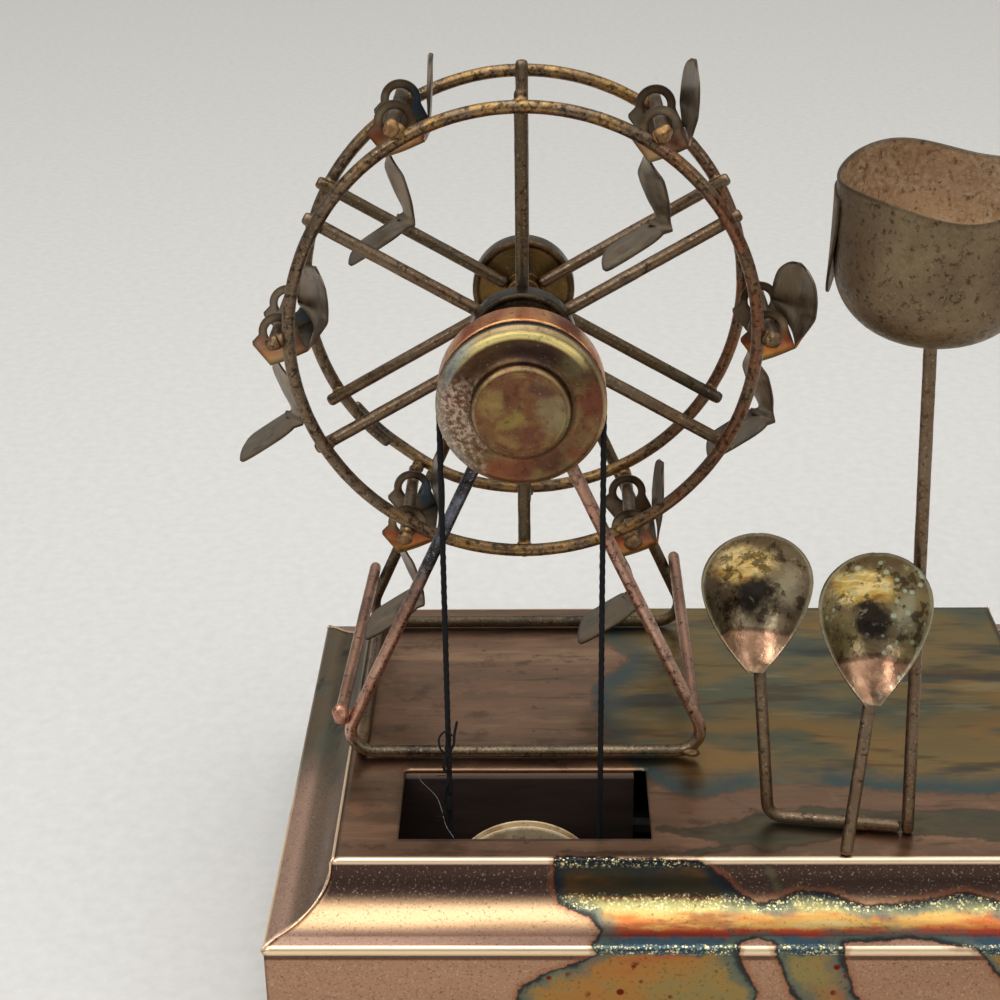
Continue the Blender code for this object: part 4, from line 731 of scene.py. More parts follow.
def disc_metal(name, spread_out, seed, torched=False, metallic=1.0):
    """Turned discs; spread_out gives tones from the rim inwards, and torched adds the wheel
    pulley's torch tints and painted light.
    """
    g = Graph(name)
    radius = g.add("ShaderNodeVectorMath", {0: g.stretched((1000, 0, 1000))},
                   1, operation='LENGTH')
    cloud = g.noise(95, 4, 0.55, seed=seed)
    for reach, tones in spread_out:
        layer = cloud.ramp(even_stops(tones, 0.32, 0.70))
        if g.colour is None:
            g.colour = layer
        else:
            g.lay(radius.spread(reach + 0.3, reach - 0.3), layer)
    if torched:
        pulley_tints_and_painted_light(g, radius, seed)
    grime = g.noise(460, 4, 0.65, seed=seed + 1)
    g.lay(grime.spread(0.54, 0.68, 0, 0.55), (64, 46, 34))
    g.stain((186, 166, 130), (0.60, 0.72, 0.35), 1400, 3, 0.6, seed=seed + 8)
    rings = g.add("ShaderNodeTexNoise", {"W": radius * 7.0, "Detail": 3.0},
                  noise_dimensions='1D')
    normal = g.bump(rings, 0.00006, 0.5)
    normal = g.bump(g.noise(150, 2, 0.5, seed=seed + 6), 0.0005, 0.3, normal)
    normal = g.bump(g.noise(2200, 2, 0.6, seed=seed + 5), 0.00006, 0.5,
                    normal)
    return g.finish(grime.spread(0.3, 0.7, 0.22, 0.42), metallic, normal)


PULLEY_METAL = disc_metal("tinted_pulley_with_painted_light", (
    (30, ((128, 106, 76), (168, 130, 82), (140, 92, 66), (182, 150, 98))),
    (18.2, ((96, 80, 56), (124, 98, 66), (118, 72, 54), (136, 112, 72))),
    (12.4, ((84, 66, 48), (104, 80, 56), (92, 66, 50), (110, 90, 62))),
    (10.9, ((136, 112, 78), (156, 126, 88), (168, 142, 98),
            (130, 96, 72))),
    (10.3, ((92, 74, 54), (104, 82, 60), (92, 68, 52), (110, 92, 66))),
    (10.0, ((150, 132, 84), (138, 110, 68), (116, 78, 56), (132, 98, 66),
            (152, 134, 80), (140, 134, 104))),
), 50.0, True)
HUB_METAL = disc_metal("dark_hub", (
    (30, ((70, 58, 44), (104, 82, 54), (84, 66, 48), (120, 96, 58))),
    (11.5, ((86, 84, 60), (112, 90, 54), (132, 100, 56), (78, 66, 50))),
), 60.0)
HUB_DARK = disc_metal("sooty_hub", (
    (30, ((46, 42, 36), (72, 62, 48), (56, 48, 40), (88, 74, 52))),
), 62.0)
PALE_DISC = disc_metal("pale_brass_disc", (
    (30, ((178, 150, 112), (206, 182, 144), (220, 198, 160),
          (190, 162, 122))),
), 65.0, metallic=0.3)


# Shapes

EDGE_REACH = 0.9 * MM


def mark(data, name, values):
    """Keep one number per vertex for the materials."""
    layer = data.attributes.new(name, 'FLOAT', 'POINT')
    layer.data.foreach_set("value", np.asarray(values, dtype=np.float32))


def mark_edges(data):
    """Mark how near each vertex is to an open edge, 1 on the edge."""
    bm = bmesh.new()
    bm.from_mesh(data)
    rim = np.array([v.co for v in bm.verts if v.is_boundary])
    near = [1 - min(np.min(np.linalg.norm(rim - np.array(v.co), axis=1))
                    / EDGE_REACH, 1) for v in bm.verts]
    bm.free()
    mark(data, "edge", near)


def mesh_from(bm, name):
    """A smooth mesh with its faces turned outward."""
    bmesh.ops.recalc_face_normals(bm, faces=bm.faces)
    data = bpy.data.meshes.new(name)
    bm.to_mesh(data)
    bm.free()
    data.shade_smooth()
    return data


def mesh_of_rows(name, rows, around=False, closed=False, capped=False):
    """A mesh over rows of points, joined from row to row."""
    bm = bmesh.new()
    lines = [[bm.verts.new(p) for p in row] for row in rows]
    pairs = list(zip(lines, lines[1:]))
    if closed:
        pairs.append((lines[-1], lines[0]))
    for above, below in pairs:
        count = len(above)
        for i in range(count if around else count - 1):
            j = (i + 1) % count
            bm.faces.new((above[i], above[j], below[j], below[i]))
    if capped:
        bm.faces.new(lines[0][::-1])
        bm.faces.new(lines[-1])
    return mesh_from(bm, name)


def piece(data, material, body, *nodes, place=(0, 0, 0), turn=(0, 0, 0)):
    """A piece of the scene that rides on a body, in place of its nodes."""
    obj = bpy.data.objects.new(data.name + "_look", data)
    bpy.context.scene.collection.objects.link(obj)
    data.materials.append(material)
    obj.location = place
    obj.rotation_euler = turn
    if nodes:
        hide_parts(*nodes)
    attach(obj, body)
    return obj


def thicken(obj, thickness, lining=None, inward=False):
    """Give an open surface the thickness of its sheet."""
    sheet = obj.modifiers.new("sheet", 'SOLIDIFY')
    sheet.thickness = thickness
    sheet.offset = -1 if inward else 0
    if lining is not None:
        obj.data.materials.append(lining)
        sheet.material_offset = 1
    if inward:
        return
    sheet.use_even_offset = True
    edge = obj.modifiers.new("edge", 'BEVEL')
    edge.width = 0.22 * thickness
    edge.segments = 2
    edge.limit_method = 'ANGLE'
    edge.angle_limit = math.radians(60)


def filleted(points, bend):
    """Points of a path whose inner corners are arcs of radius bend."""
    points = [Vector(p) for p in points]
    path = [points[0]]
    steps = 8
    for before, corner, after in zip(points, points[1:], points[2:]):
        a = (before - corner).normalized()
        b = (after - corner).normalized()
        half = a.angle(b) / 2
        cut = bend / math.tan(half)
        centre = corner + (a + b).normalized() * (bend / math.sin(half))
        first = corner + a * cut - centre
        last = corner + b * cut - centre
        path += [centre + first.slerp(last, i / steps) * bend
                 for i in range(steps + 1)]
    return path + [points[-1]]


def travels(points):
    """The distance travelled at each point of a path."""
    travelled = [0.0]
    for a, b in zip(points, points[1:]):
        travelled.append(travelled[-1] + math.dist(a, b))
    return travelled


def spaced(points, step, end_round=0.0):
    """Points a step apart along a path, closer together at its ends."""
    points = [Vector(p) for p in points]
    lengths = travels(points)
    total = lengths[-1]
    count = max(int(total / step), 2)
    stops = [total * i / count for i in range(count + 1)]
    if end_round:
        near = [end_round * share for share in (0.12, 0.3, 0.6)]
        stops = sorted(stops + near + [total - d for d in near])
    placed = []
    k = 0
    for stop in stops:
        while k < len(points) - 2 and lengths[k + 1] < stop:
            k += 1
        share = (stop - lengths[k]) / max(lengths[k + 1] - lengths[k], 1e-9)
        placed.append(points[k].lerp(points[k + 1], min(max(share, 0), 1)))
    return placed


def tube(name, line, size, sides, closed=False, side=None):
    """A tube along a line, as wide as size says there and around it."""
    count = len(line)
    along = travels(line)
    rows = []
    for i, point in enumerate(line):
        before = line[i - 1] if closed or i else point
        after = line[(i + 1) % count] if closed or i < count - 1 else point
        forward = (after - before).normalized()
        if side is None:
            side = forward.orthogonal()
        side = (side - side.dot(forward) * forward).normalized()
        up = forward.cross(side)
        row = []
        for k in range(sides):
            a = math.tau * k / sides
            out = math.cos(a) * side + math.sin(a) * up
            to_end = min(along[i], along[-1] - along[i])
            row.append(point + out * size(point, out, a, along[i], to_end))
        rows.append(row)
    return mesh_of_rows(name, rows, True, closed, not closed)


def rod_mesh(name, path, radius, closed=False, step=1.2 * MM, sides=18,
             uneven=0.05 * MM, ends=None):
    """A hand-bent rod along a path, slightly uneven, with rounded ends."""
    ends = radius * 0.8 if ends is None else ends
    line = path if closed else spaced(path, step, ends)

    def size(point, out, _around, _along, to_end):
        share = 1 if closed else min(to_end / ends, 1)
        full = 0.55 + 0.45 * math.sqrt(1 - (1 - share) ** 2)
        swell = noise.noise((point + out * radius) * 260) * uneven
        return radius * full + swell

    return tube(name, line, size, sides, closed)


def rod_line(node):
    """The two ends of a straight CAD rod, from its own corners."""
    points = [v.co.copy() for v in frame["nodes"][node].data.vertices]
    middle = sum(points, Vector()) / len(points)
    far = max(points, key=lambda p: (p - middle).length)
    halves = [[], []]
    for point in points:
        halves[(point - middle).dot(far - middle) > 0].append(point)
    return [sum(half, Vector()) / len(half) for half in halves]


def turned_mesh(name, profile, steps=96, uneven=None):
    """A turned piece about its own -Y axis, from radius and height pairs."""
    rows = []
    for radius, height in profile:
        row = []
        for i in range(steps):
            a = math.tau * i / steps
            point = Vector((radius * math.cos(a), -height,
                            radius * math.sin(a)))
            if uneven is not None:
                point += uneven(point)
            row.append(point)
        rows.append(row)
    return mesh_of_rows(name, rows, True)


def rounded(profile, bend, steps=3):
    """A profile given in millimetres, in metres, its corners rounded."""
    points = [Vector((x * MM, y * MM, 0)) for x, y in profile]
    path = [points[0]]
    for before, corner, after in zip(points, points[1:], points[2:]):
        a, b = before - corner, after - corner
        cut = min(bend * MM, a.length * 0.45, b.length * 0.45)
        start = corner + a.normalized() * cut
        end = corner + b.normalized() * cut
        for i in range(steps + 1):
            t = i / steps
            path.append(start.lerp(corner, t).lerp(corner.lerp(end, t), t))
    path.append(points[-1])
    return [(p.x, p.y) for p in path]


def smooth_rows(rows, steps):
    """A curve through rows of numbers, with steps between each pair."""
    rows = [Vector(row) for row in rows]
    ends = [2 * rows[0] - rows[1]] + rows + [2 * rows[-1] - rows[-2]]
    placed = []
    for a, b, c, d in zip(ends, ends[1:], ends[2:], ends[3:]):
        for i in range(steps):
            t = i / steps
            placed.append(0.5 * (2 * b + (c - a) * t
                                 + (2 * a - 5 * b + 4 * c - d) * t * t
                                 + (3 * b - a - 3 * c + d) * t ** 3))
    return placed + [rows[-1]]


# Base: the cover and its end panels, with the section of the part's source

CREASE, HOLLOW, LEDGE, LEDGE_FALL, LIP = (
    1.0 * MM, 12.2 * MM, 1.8 * MM, 0.6 * MM, 1.4 * MM)
SHEET = 0.8 * MM
# How far the cover and the end panels stay back from the mitres
COVER_INSET, END_INSET = 0.2 * MM, 0.15 * MM
PLATE_X, PLATE_Y = 90 * MM, 62.5 * MM
OPENING_X = (WHEEL_X - 30.5 * MM, WHEEL_X + 30.5 * MM)
OPENING_Y = (-55 * MM, -24.5 * MM)
COVE_OUT = CREASE + HOLLOW + LEDGE + LIP
LIP_DROP = CREASE + HOLLOW + LEDGE_FALL + LIP
GRID = 1.2 * MM


def cove_profile():
    """Outward, down and travelled distance from the plate's edge."""
    side = []
    for i in range(7):
        a = math.radians(90 - 15 * i)
        side.append((CREASE * math.cos(a), CREASE * (1 - math.sin(a))))
    for i in range(1, 31):
        a = math.radians(3 * i)
        side.append((CREASE + HOLLOW * (1 - math.cos(a)),
                     CREASE + HOLLOW * math.sin(a)))
    for i in range(11):
        a = math.radians(90 - 12 * i)
        side.append((COVE_OUT - LIP * (1 - math.cos(a)),
                     LIP_DROP - LIP * math.sin(a)))
    wall = COVE_OUT - 0.4 * MM
    top, bottom = LIP_DROP + LIP, PLATE_Z - 1 * MM
    side += [(wall, top + (bottom - top) * i / 15) for i in range(16)]
    return [(*spot, s) for spot, s in zip(side, travels(side))]


COVE = cove_profile()


def lines_between(low, high, marks):
    """Even places from low to high, with marks among them."""
    stops = sorted([low, high, *marks])
    placed = []
    for a, b in zip(stops, stops[1:]):
        count = max(round((b - a) / GRID), 1)
        placed += [a + (b - a) * i / count for i in range(count)]
    return placed + [stops[-1]]


def cut_opening(data):
    """Take the plate's faces over the opening away."""
    bm = bmesh.new()
    bm.from_mesh(data)
    inside = []
    for face in bm.faces:
        middle = face.calc_center_median()
        if OPENING_X[0] < middle.x < OPENING_X[1] \
                and OPENING_Y[0] < middle.y < OPENING_Y[1]:
            inside.append(face)
    bmesh.ops.delete(bm, geom=inside, context='FACES')
    bm.to_mesh(data)
    bm.free()


def outline_depth(places, outline):
    """How far inside an outline each place lies; negative outside it."""
    places = np.array(places)
    corners = np.array(outline, dtype=float)
    nearest = np.full(len(places), 1e9)
    inside = np.zeros(len(places), dtype=bool)
    for a, b in zip(corners, np.roll(corners, -1, axis=0)):
        edge = b - a
        share = np.clip(((places - a) @ edge) / (edge @ edge), 0, 1)
        gap = places - a - share[:, None] * edge
        nearest = np.minimum(nearest, np.hypot(gap[:, 0], gap[:, 1]))
        spans = (a[1] > places[:, 1]) != (b[1] > places[:, 1])
        if a[1] != b[1]:
            crossing = a[0] + (places[:, 1] - a[1]) * edge[0] / edge[1]
            inside ^= spans & (places[:, 0] < crossing)
    return np.where(inside, nearest, -nearest)


# Where the tints lie on the sheet laid flat, in millimetres: across from the
# axle, and back from the plate's front edge

FILM = (
    (22, 135), (22, 106.1), (27.7, 94.5), (17.4, 77.9), (18.6, 62),
    (21.9, 49.8), (29, 37.8), (32.6, 30.9), (43, 24.1), (53.6, 28.6),
    (69, 31.7), (86.5, 28.5), (112, 26), (150, 30), (150, 135),
)
SOOT = (
    (31.5, 11.5), (34, 13.2), (37, 11.6), (42.4, 12), (50, 14.5),
    (57.6, 18.8), (63, 17.5), (70, 21.5), (86, 19), (110, 20), (150, 16),
    (150, 8), (112, 7), (84, 10.5), (72, 6.5), (63, 4), (60, 1.5), (56, 2),
    (54, 5.5), (46, 4), (36, 2.4), (14, 2.2), (5, 3.4), (14, 0.4),
    (42, 0.4), (50, 3), (46, 7), (38, 8.5),
)
FLOW = (
    (7, 0.6), (6.5, -5.7), (8, -11.7), (15.4, -15.3), (17.6, -18.5),
    (15.7, -22.8), (16.6, -25.2), (15, -26.4), (4.7, -31), (-1.2, -35),
    (-3, -42), (2, -50), (20, -56), (40, -56), (52, -46), (54.7, -36.6),
    (50, -26.4), (50, -22.5), (54, -21.2), (58, -22.5), (58.2, -26.4),
    (62.2, -36.6), (66, -44), (74, -46), (80, -40), (77.4, -36.6),
    (74.4, -26.4), (74.5, -22.5), (90, -21), (104, -24), (112, -34),
    (124, -36), (133, -24), (141, -20), (141, -10), (118, -12.5),
    (104, -8.5), (90, -11), (81, -11.7), (72, -9), (65, -7.9), (55.5, -11.7),
    (51, -9), (48, -5.7), (41.5, -0.6),
)
DROP = ((57, -2.2), (59.2, -2.6), (60.6, -6), (62.6, -10.5), (61, -10.9),
        (58.2, -6.6), (56.6, -4))


def unrolled(data, end=False):
    """Each vertex across from the axle and back from the front edge."""
    _, falls, lengths = zip(*COVE)
    places = []
    for vertex in data.vertices:
        down = PLATE_Z - vertex.co.z
        along = np.interp(down, falls, lengths) / MM
        if not end and vertex.co.y > 0 and down > 1e-7:
            back = 2 * PLATE_Y / MM + along
        elif end or down > 1e-7:
            back = -along
        else:
            back = (vertex.co.y + PLATE_Y) / MM
        places.append(((vertex.co.x - WHEEL_X) / MM, back))
    return places


def build_cover():
    """The plate with the front and back coves and walls."""
    columns = lines_between(-PLATE_X, PLATE_X, OPENING_X)
    deep = lines_between(-PLATE_Y, PLATE_Y, OPENING_Y)
    front, back = ([[(x * (1 + (out - COVER_INSET) / PLATE_X),
                      side * (PLATE_Y + out), PLATE_Z - down)
                     for x in columns] for out, down, _ in COVE]
                   for side in (-1, 1))
    plate = [[(x, y, PLATE_Z) for x in columns] for y in deep[1:-1]]
    data = mesh_of_rows("cover", front[::-1] + plate + back)
    cut_opening(data)
    places = unrolled(data)
    depth = 2 * PLATE_Y / MM
    mark(data, "back_mm", [min(back, depth - back) for _, back in places])
    mark(data, "film_mm", outline_depth(places, FILM))
    mark(data, "soot_mm", np.maximum(outline_depth(places, SOOT),
                                     outline_depth(places, DROP)))
    mark(data, "flow_mm", outline_depth(places, FLOW))
    thicken(piece(data, COPPER, "base", "top_cover"), SHEET, INSIDE_COPPER,
            True)


def build_end(name, sign):
    """The cove and wall of one end."""
    count = 90
    rows = []
    for out, down, _ in COVE[1:]:
        half = PLATE_Y + out - END_INSET
        rows.append([(sign * (PLATE_X + out), sign * half * (2 * i / count - 1),
                      PLATE_Z - down) for i in range(count + 1)])
    data = mesh_of_rows(name, rows)
    mark(data, "back_mm", [back for _, back in unrolled(data, True)])
    thicken(piece(data, END_COPPER, "base", name), SHEET, inward=True)


def build_seams():
    """The bright soldered edge along each mitre."""
    for end, side_x in (("left", -1), ("right", 1)):
        for face, side_y in (("front", -1), ("back", 1)):
            path = [(side_x * (PLATE_X + out), side_y * (PLATE_Y + out),
                     PLATE_Z - down) for out, down, _ in COVE[2:46:2]]
            piece(rod_mesh(f"seam_{end}_{face}", path, 0.35 * MM, sides=8,
                           uneven=0.25 * MM), SEAM, "base")


# Rods of the stand

ROD_RADIUS = 1.6 * MM
STEM_RADIUS = 1.5 * MM
GAP = 0.3 * MM
STAND_Y = {"front": -18.5 * MM, "rear": 51.5 * MM}
FOOT_REACH = {"front": 48 * MM, "rear": 47 * MM}
FOOT_BEND = 6 * MM
BEARING_RADIUS = 4.2 * MM
RAIL_Z = PLATE_Z + GAP + ROD_RADIUS


def build_rod(node, material, body="base", radius=ROD_RADIUS):
    """A straight rod in place of its node."""
    piece(rod_mesh(node, rod_line(node), radius), material, body, node)


def build_stand():
    """Both bent frames, the braces and the base rail."""
    top = BEARING_RADIUS + GAP + 0.3 * ROD_RADIUS
    for side, material in (("front", FRONT_FRAME), ("rear", ROD_DARK)):
        reach, y = FOOT_REACH[side], STAND_Y[side]
        lean = math.atan2(reach, AXLE.z - RAIL_Z)
        in_x, top_z = top * math.sin(lean), AXLE.z - top * math.cos(lean)
        points = [(WHEEL_X - in_x, y, top_z), (WHEEL_X - reach, y, RAIL_Z),
                  (WHEEL_X + reach, y, RAIL_Z), (WHEEL_X + in_x, y, top_z)]
        piece(rod_mesh(f"{side}_frame", filleted(points, FOOT_BEND),
                       ROD_RADIUS), material, "base", f"{side}_stand_frame")
    build_rod("left_brace", ROD_PINK)
    build_rod("right_brace", ROD_PINK)
    build_rod("left_base_rail", ROD)


# Wheel

RING_RADIUS = 57 * MM
RING_Y = {"front": 0.0, "rear": 39 * MM}
# The rear ring's ends: where they lie, and over what angle they move apart
LAP_FIRST, LAP_LAST = 216, 230
LAP_AHEAD, LAP_EASE = 22, 20
SPOKE_METAL = (ROD, ROD_DARK, ROD)


def ring_point(degrees, y):
    a = math.radians(degrees)
    return Vector((WHEEL_X + RING_RADIUS * math.cos(a), y,
                   AXLE.z + RING_RADIUS * math.sin(a)))


def build_rings():
    """The front ring, and the rear one whose ends lap behind each other."""
    front = [ring_point(i * 2, RING_Y["front"]) for i in range(180)]
    piece(rod_mesh("front_ring", front, ROD_RADIUS, True), RING_METAL,
          "wheel", "front_ring")
    whole = 360 + LAP_LAST - LAP_FIRST
    steps = 364
    rear = []
    for i in range(steps + 1):
        travelled = whole * i / steps
        share = min(max((travelled - 360 + LAP_AHEAD) / LAP_EASE, 0), 1)
        shift = 2 * ROD_RADIUS * share * share * (3 - 2 * share)
        rear.append(ring_point(LAP_LAST - travelled, RING_Y["rear"] + shift))
    piece(rod_mesh("rear_ring", rear, ROD_RADIUS), RING_METAL, "wheel",
          "rear_ring")


def build_wheel_rods():
    """Spokes and seat rods."""
    for i in range(1, 7):
        for behind, side in enumerate(("front", "rear")):
            build_rod(f"{side}_spoke_{i}", SPOKE_METAL[(2 * i + behind) % 3],
                      "wheel")
        build_rod(f"seat_rod_{i}", ROD, "wheel")


def build_hubs():
    """Both hubs, shallow drums with a collar and a rolled rim."""
    half, rim, radius = 3.3, 12.3, 13.3
    collar, collar_end, bore = 4.7, 8.5, 2.7
    profile = rounded([
        (bore, collar_end), (collar, collar_end), (collar, half),
        (rim - 0.8, half - 0.5), (rim, half), (radius, half - 0.5),
        (radius, -half + 0.5), (rim, -half), (rim - 1, 1 - half),
        (collar, 0.5 - half), (bore, 0.5 - half),
    ], 0.4)
    for name, material, y, turn in (
            ("front_hub", HUB_DARK, -1.7 * MM, math.pi),
            ("rear_hub", HUB_METAL, 40.7 * MM, 0)):
        piece(turned_mesh(name, profile), material, "wheel", name,
              place=(WHEEL_X, y, AXLE.z), turn=(0, 0, turn))


GROOVE, PULLEY = 17.6, 19.2
BELT_Y = -40.8 * MM


def crust(point):
    """Grains of old flux on the left of the pulley's face."""
    if point.y > -1.5 * MM:
        return Vector()
    amount = min(max((-point.x - 3 * MM) / (9 * MM), 0), 1)
    grain = noise.noise(point * 2600) + 0.5 * noise.noise(point * 900)
    return Vector((0, -0.22 * MM * max(grain, 0) * amount, 0))


def build_wheel_pulley():
    face, boss, boss_front, edge = 3.8, 11.1, 7.4, 1.6
    front = rounded([
        (0.01, boss_front - 0.5), (boss - 2.4, boss_front - 0.45),
        (boss - 1.2, boss_front), (boss, boss_front - 1.0),
        (boss + 0.2, face + 0.4), (boss + 1.6, face - 0.5),
        (PULLEY - 2.2 * edge, face - 0.1), (PULLEY - edge, face),
        (PULLEY, face - edge), (PULLEY, 1.4),
    ], 1.3, 5)
    fine = []
    for a, b in zip(front, front[1:]):
        count = max(int(math.dist(a, b) / (0.4 * MM)), 1)
        fine += [(a[0] + (b[0] - a[0]) * i / count,
                  a[1] + (b[1] - a[1]) * i / count) for i in range(count)]
    back = rounded([
        (PULLEY, 1.4), (GROOVE, 1.0), (GROOVE, -1.0), (PULLEY, -1.4),
        (PULLEY, -9.6), (PULLEY - 0.6, -10.6), (2.7, -10.6), (2.7, 3.5),
    ], 0.3)
    piece(turned_mesh("wheel_pulley", fine + back, 160, crust), PULLEY_METAL,
          "wheel", "wheel_pulley", place=(WHEEL_X, BELT_Y, AXLE.z))


def build_movement_pulley():
    face = 1.6
    profile = rounded([
        (0.01, face + 1.2), (5, face + 1.2), (6.2, face + 0.4),
        (14.2, face + 0.4), (14.6, face - 0.3), (PULLEY - 0.6, face),
        (PULLEY, face - 0.3), (PULLEY, 1.0), (GROOVE, 1.0), (GROOVE, -1.0),
        (PULLEY, -1.0), (PULLEY, -face), (2.3, -face), (2.3, 1.0),
    ], 0.25)
    piece(turned_mesh("movement_pulley", profile, 128), PALE_DISC, "drive",
          "movement_pulley", place=(WHEEL_X, BELT_Y, SPINDLE.z))


# Seats, in millimetres in the plane of the ring from the swing's axis:
# across and up, with the half width along the rod

PAN_BACK = (6.9, -5.6)
PAN_FRONT = (-2.7, -9.3)
SEAT_HALF = 11.2
BACKREST = (
    (8.0, 12.5, 0.5), (8.0, 12.1, 2.8), (7.9, 11.0, 5.2), (7.8, 8.5, 7.7),
    (7.6, 4.5, 9.0), (7.3, 0.0, 9.1), (7.0, -3.6, 9.6), (6.9, -5.6, 11.1),
)
PAN = ((*PAN_BACK, SEAT_HALF), (2.1, -7.7, SEAT_HALF),
       (*PAN_FRONT, SEAT_HALF))
LEG = (
    (-2.3, -9.5, 2.4), (-2.5, -10.6, 2.6), (-1.4, -16.0, 4.9),
    (0.5, -22.0, 4.3), (1.8, -26.4, 2.7), (0.9, -28.4, 5.0),
    (-1.2, -29.9, 6.7), (-5.0, -32.4, 7.0), (-9.0, -35.0, 6.9),
    (-11.2, -36.4, 6.6), (-12.3, -37.1, 5.6), (-12.75, -37.4, 4.0),
)
# How far each hand-bent backrest and leg is turned, in degrees
SEAT_TWISTS = ((30, 34), (9, 36), (4, 30), (30, 34), (12, 26), (4, 20))
EAR_CENTRE = (0, -0.8)
EAR_HOLE = 2.9
EAR_OUTER = 5.0
EAR_CORNERS = ((-6.6, -2.6), (-6.8, -3.8), PAN_FRONT, PAN_BACK)


def strip(bm, rows, bow, twist=0.0, start=0.0, skew=0.0, heel=-28.5):
    """A curved strip of sheet over rows of across, up and half width.

    Away from the height start the strip turns by twist degrees about the
    upright, and below the heel its near edge runs ahead by the skew.
    """
    lines = []
    for row, (u, w, half) in enumerate(rows):
        turn = math.radians(twist) * min(abs(w - start) / 6, 1)
        before = rows[max(row - 1, 0)]
        after = rows[min(row + 1, len(rows) - 1)]
        run = Vector((after[0] - before[0], after[1] - before[1])).normalized()
        ahead = skew * min(max((heel - w) / 3, 0), 1)
        if ahead:
            turn *= 0.3
        line = []
        for k in range(13):
            s = -1 + k / 6
            v = half * s
            line.append(bm.verts.new(MM * Vector((
                u + bow * (1 - s * s) - v * math.sin(turn)
                - ahead * v * run.x,
                v * math.cos(turn),
                w - ahead * v * run.y))))
        lines.append(line)
    for above, below in zip(lines, lines[1:]):
        for a, b, c, d in zip(above, below, below[1:], above[1:]):
            bm.faces.new((a, b, c, d))


def ear_reach(direction, centre, outline):
    """How far a ray from the ear's hole runs to its outline."""
    best = 0.0
    for a, b in zip(outline, outline[1:] + outline[:1]):
        edge = b - a
        cross = direction.cross(edge)
        if abs(cross) < 1e-9:
            continue
        along = (a - centre).cross(edge) / cross
        share = (a - centre).cross(direction) / cross
        if along > 0 and -1e-6 <= share <= 1 + 1e-6:
            best = max(best, along)
    return best


def ear(bm, y, bulge):
    """One ear: sheet round the rod's hole, down to the pan's edge."""
    centre = Vector(EAR_CENTRE)
    outline = []
    for i in range(25):
        a = math.radians(-10 + 200 * i / 24)
        outline.append(centre
                       + EAR_OUTER * Vector((math.cos(a), math.sin(a))))
    outline += [Vector(corner) for corner in EAR_CORNERS]
    loops = [[] for _ in range(5)]
    count = 56
    for k in range(count):
        a = math.tau * k / count
        direction = Vector((math.cos(a), math.sin(a)))
        reach = ear_reach(direction, centre, outline)
        for j, loop in enumerate(loops):
            share = j / 4
            spot = centre + direction * (EAR_HOLE
                                         + (reach - EAR_HOLE) * share)
            loop.append(bm.verts.new(MM * Vector((
                spot.x, y + bulge * (1 - share), spot.y))))
    for inner, outer in zip(loops, loops[1:]):
        for k in range(count):
            j = (k + 1) % count
            bm.faces.new((inner[k], inner[j], outer[j], outer[k]))


def build_seats():
    for i, (lean, turned) in enumerate(SEAT_TWISTS, 1):
        chance = random.Random(i)
        bm = bmesh.new()
        strip(bm, smooth_rows(BACKREST, 5), 0.7, lean, -5.6)
        strip(bm, smooth_rows(PAN, 6), 0.0)
        strip(bm, smooth_rows(LEG, 6), -0.4, turned, -9.5, 0.30)
        for side in (-1, 1):
            ear(bm, side * (SEAT_HALF - 0.25),
                side * chance.uniform(-0.2, 0.3))
        data = mesh_from(bm, f"seat_{i}")
        mark_edges(data)
        swing = JOINTS[f"seat_{i}_swing"]
        thicken(piece(data, SEAT_METAL[i - 1], swing["child"], f"seat_{i}",
                      place=swing["pos_m"]), 0.5 * MM)


# Belt

BELT_LINE = (GROOVE + 0.62) * MM + GAP
BELT_CORE, BELT_LAY = 0.68 * MM, 2.6 * MM


def belt_size(point, out, around, along, _to_end):
    """Three strands laid round the thread's core."""
    turn = 3 * around + math.tau * along / BELT_LAY
    return BELT_CORE * (1 + 0.07 * math.cos(turn)) \
        + noise.noise((point + out * BELT_CORE) * 2200) * 0.05 * MM


def build_belt():
    """The braided thread, a loop round both pulleys."""
    path = []
    for centre_z, first in ((AXLE.z, 0), (SPINDLE.z, 180)):
        for i in range(33):
            a = math.radians(first + 180 * i / 32)
            path.append(Vector((WHEEL_X + BELT_LINE * math.cos(a), BELT_Y,
                                centre_z + BELT_LINE * math.sin(a))))
    path = spaced(path + path[:1], 0.45 * MM)[:-1]
    piece(tube("drive_belt", path, belt_size, 12, True, Vector((0, 1, 0))),
          THREAD, "base", "drive_belt")


# Solder, the belt's knot and loose threads

def from_axle(across, y, up):
    """Millimetres across from the axle, deep, and up from the plate."""
    return Vector((WHEEL_X + across * MM, y * MM, PLATE_Z + up * MM))


def plant_point(across, back, up):
    """The same with its depth from the plate's front edge."""
    return from_axle(across, back - PLATE_Y / MM, up)


def blobs_mesh(name, lumps):
    """Lumps rough all over, of place, size in millimetres and flattening."""
    bm = bmesh.new()
    for number, (place, size, flat) in enumerate(lumps):
        seed = 1.7 * number
        lump = bmesh.ops.create_icosphere(bm, subdivisions=3, radius=1)
        for vertex in lump["verts"]:
            rough = noise.noise(vertex.co * 1.3 + Vector((seed, 0, 0))) * 0.30
            rough += noise.noise(vertex.co * 4 + Vector((0, seed, 0))) * 0.10
            spot = vertex.co * size * MM * (1 + rough)
            vertex.co = place + spot * Vector(flat)
    return mesh_from(bm, name)


def still_lumps(name, lumps, material):
    """Lumps on the base, of places from the axle."""
    placed = [(from_axle(*place), *shape) for place, *shape in lumps]
    piece(blobs_mesh(name, placed), material, "base")


# Where the spokes and the front ends of the seat rods are soldered
SPOKE_JOINTS_Y = (1.6 * MM, 37.4 * MM)
ROD_END_Y = -2.0 * MM
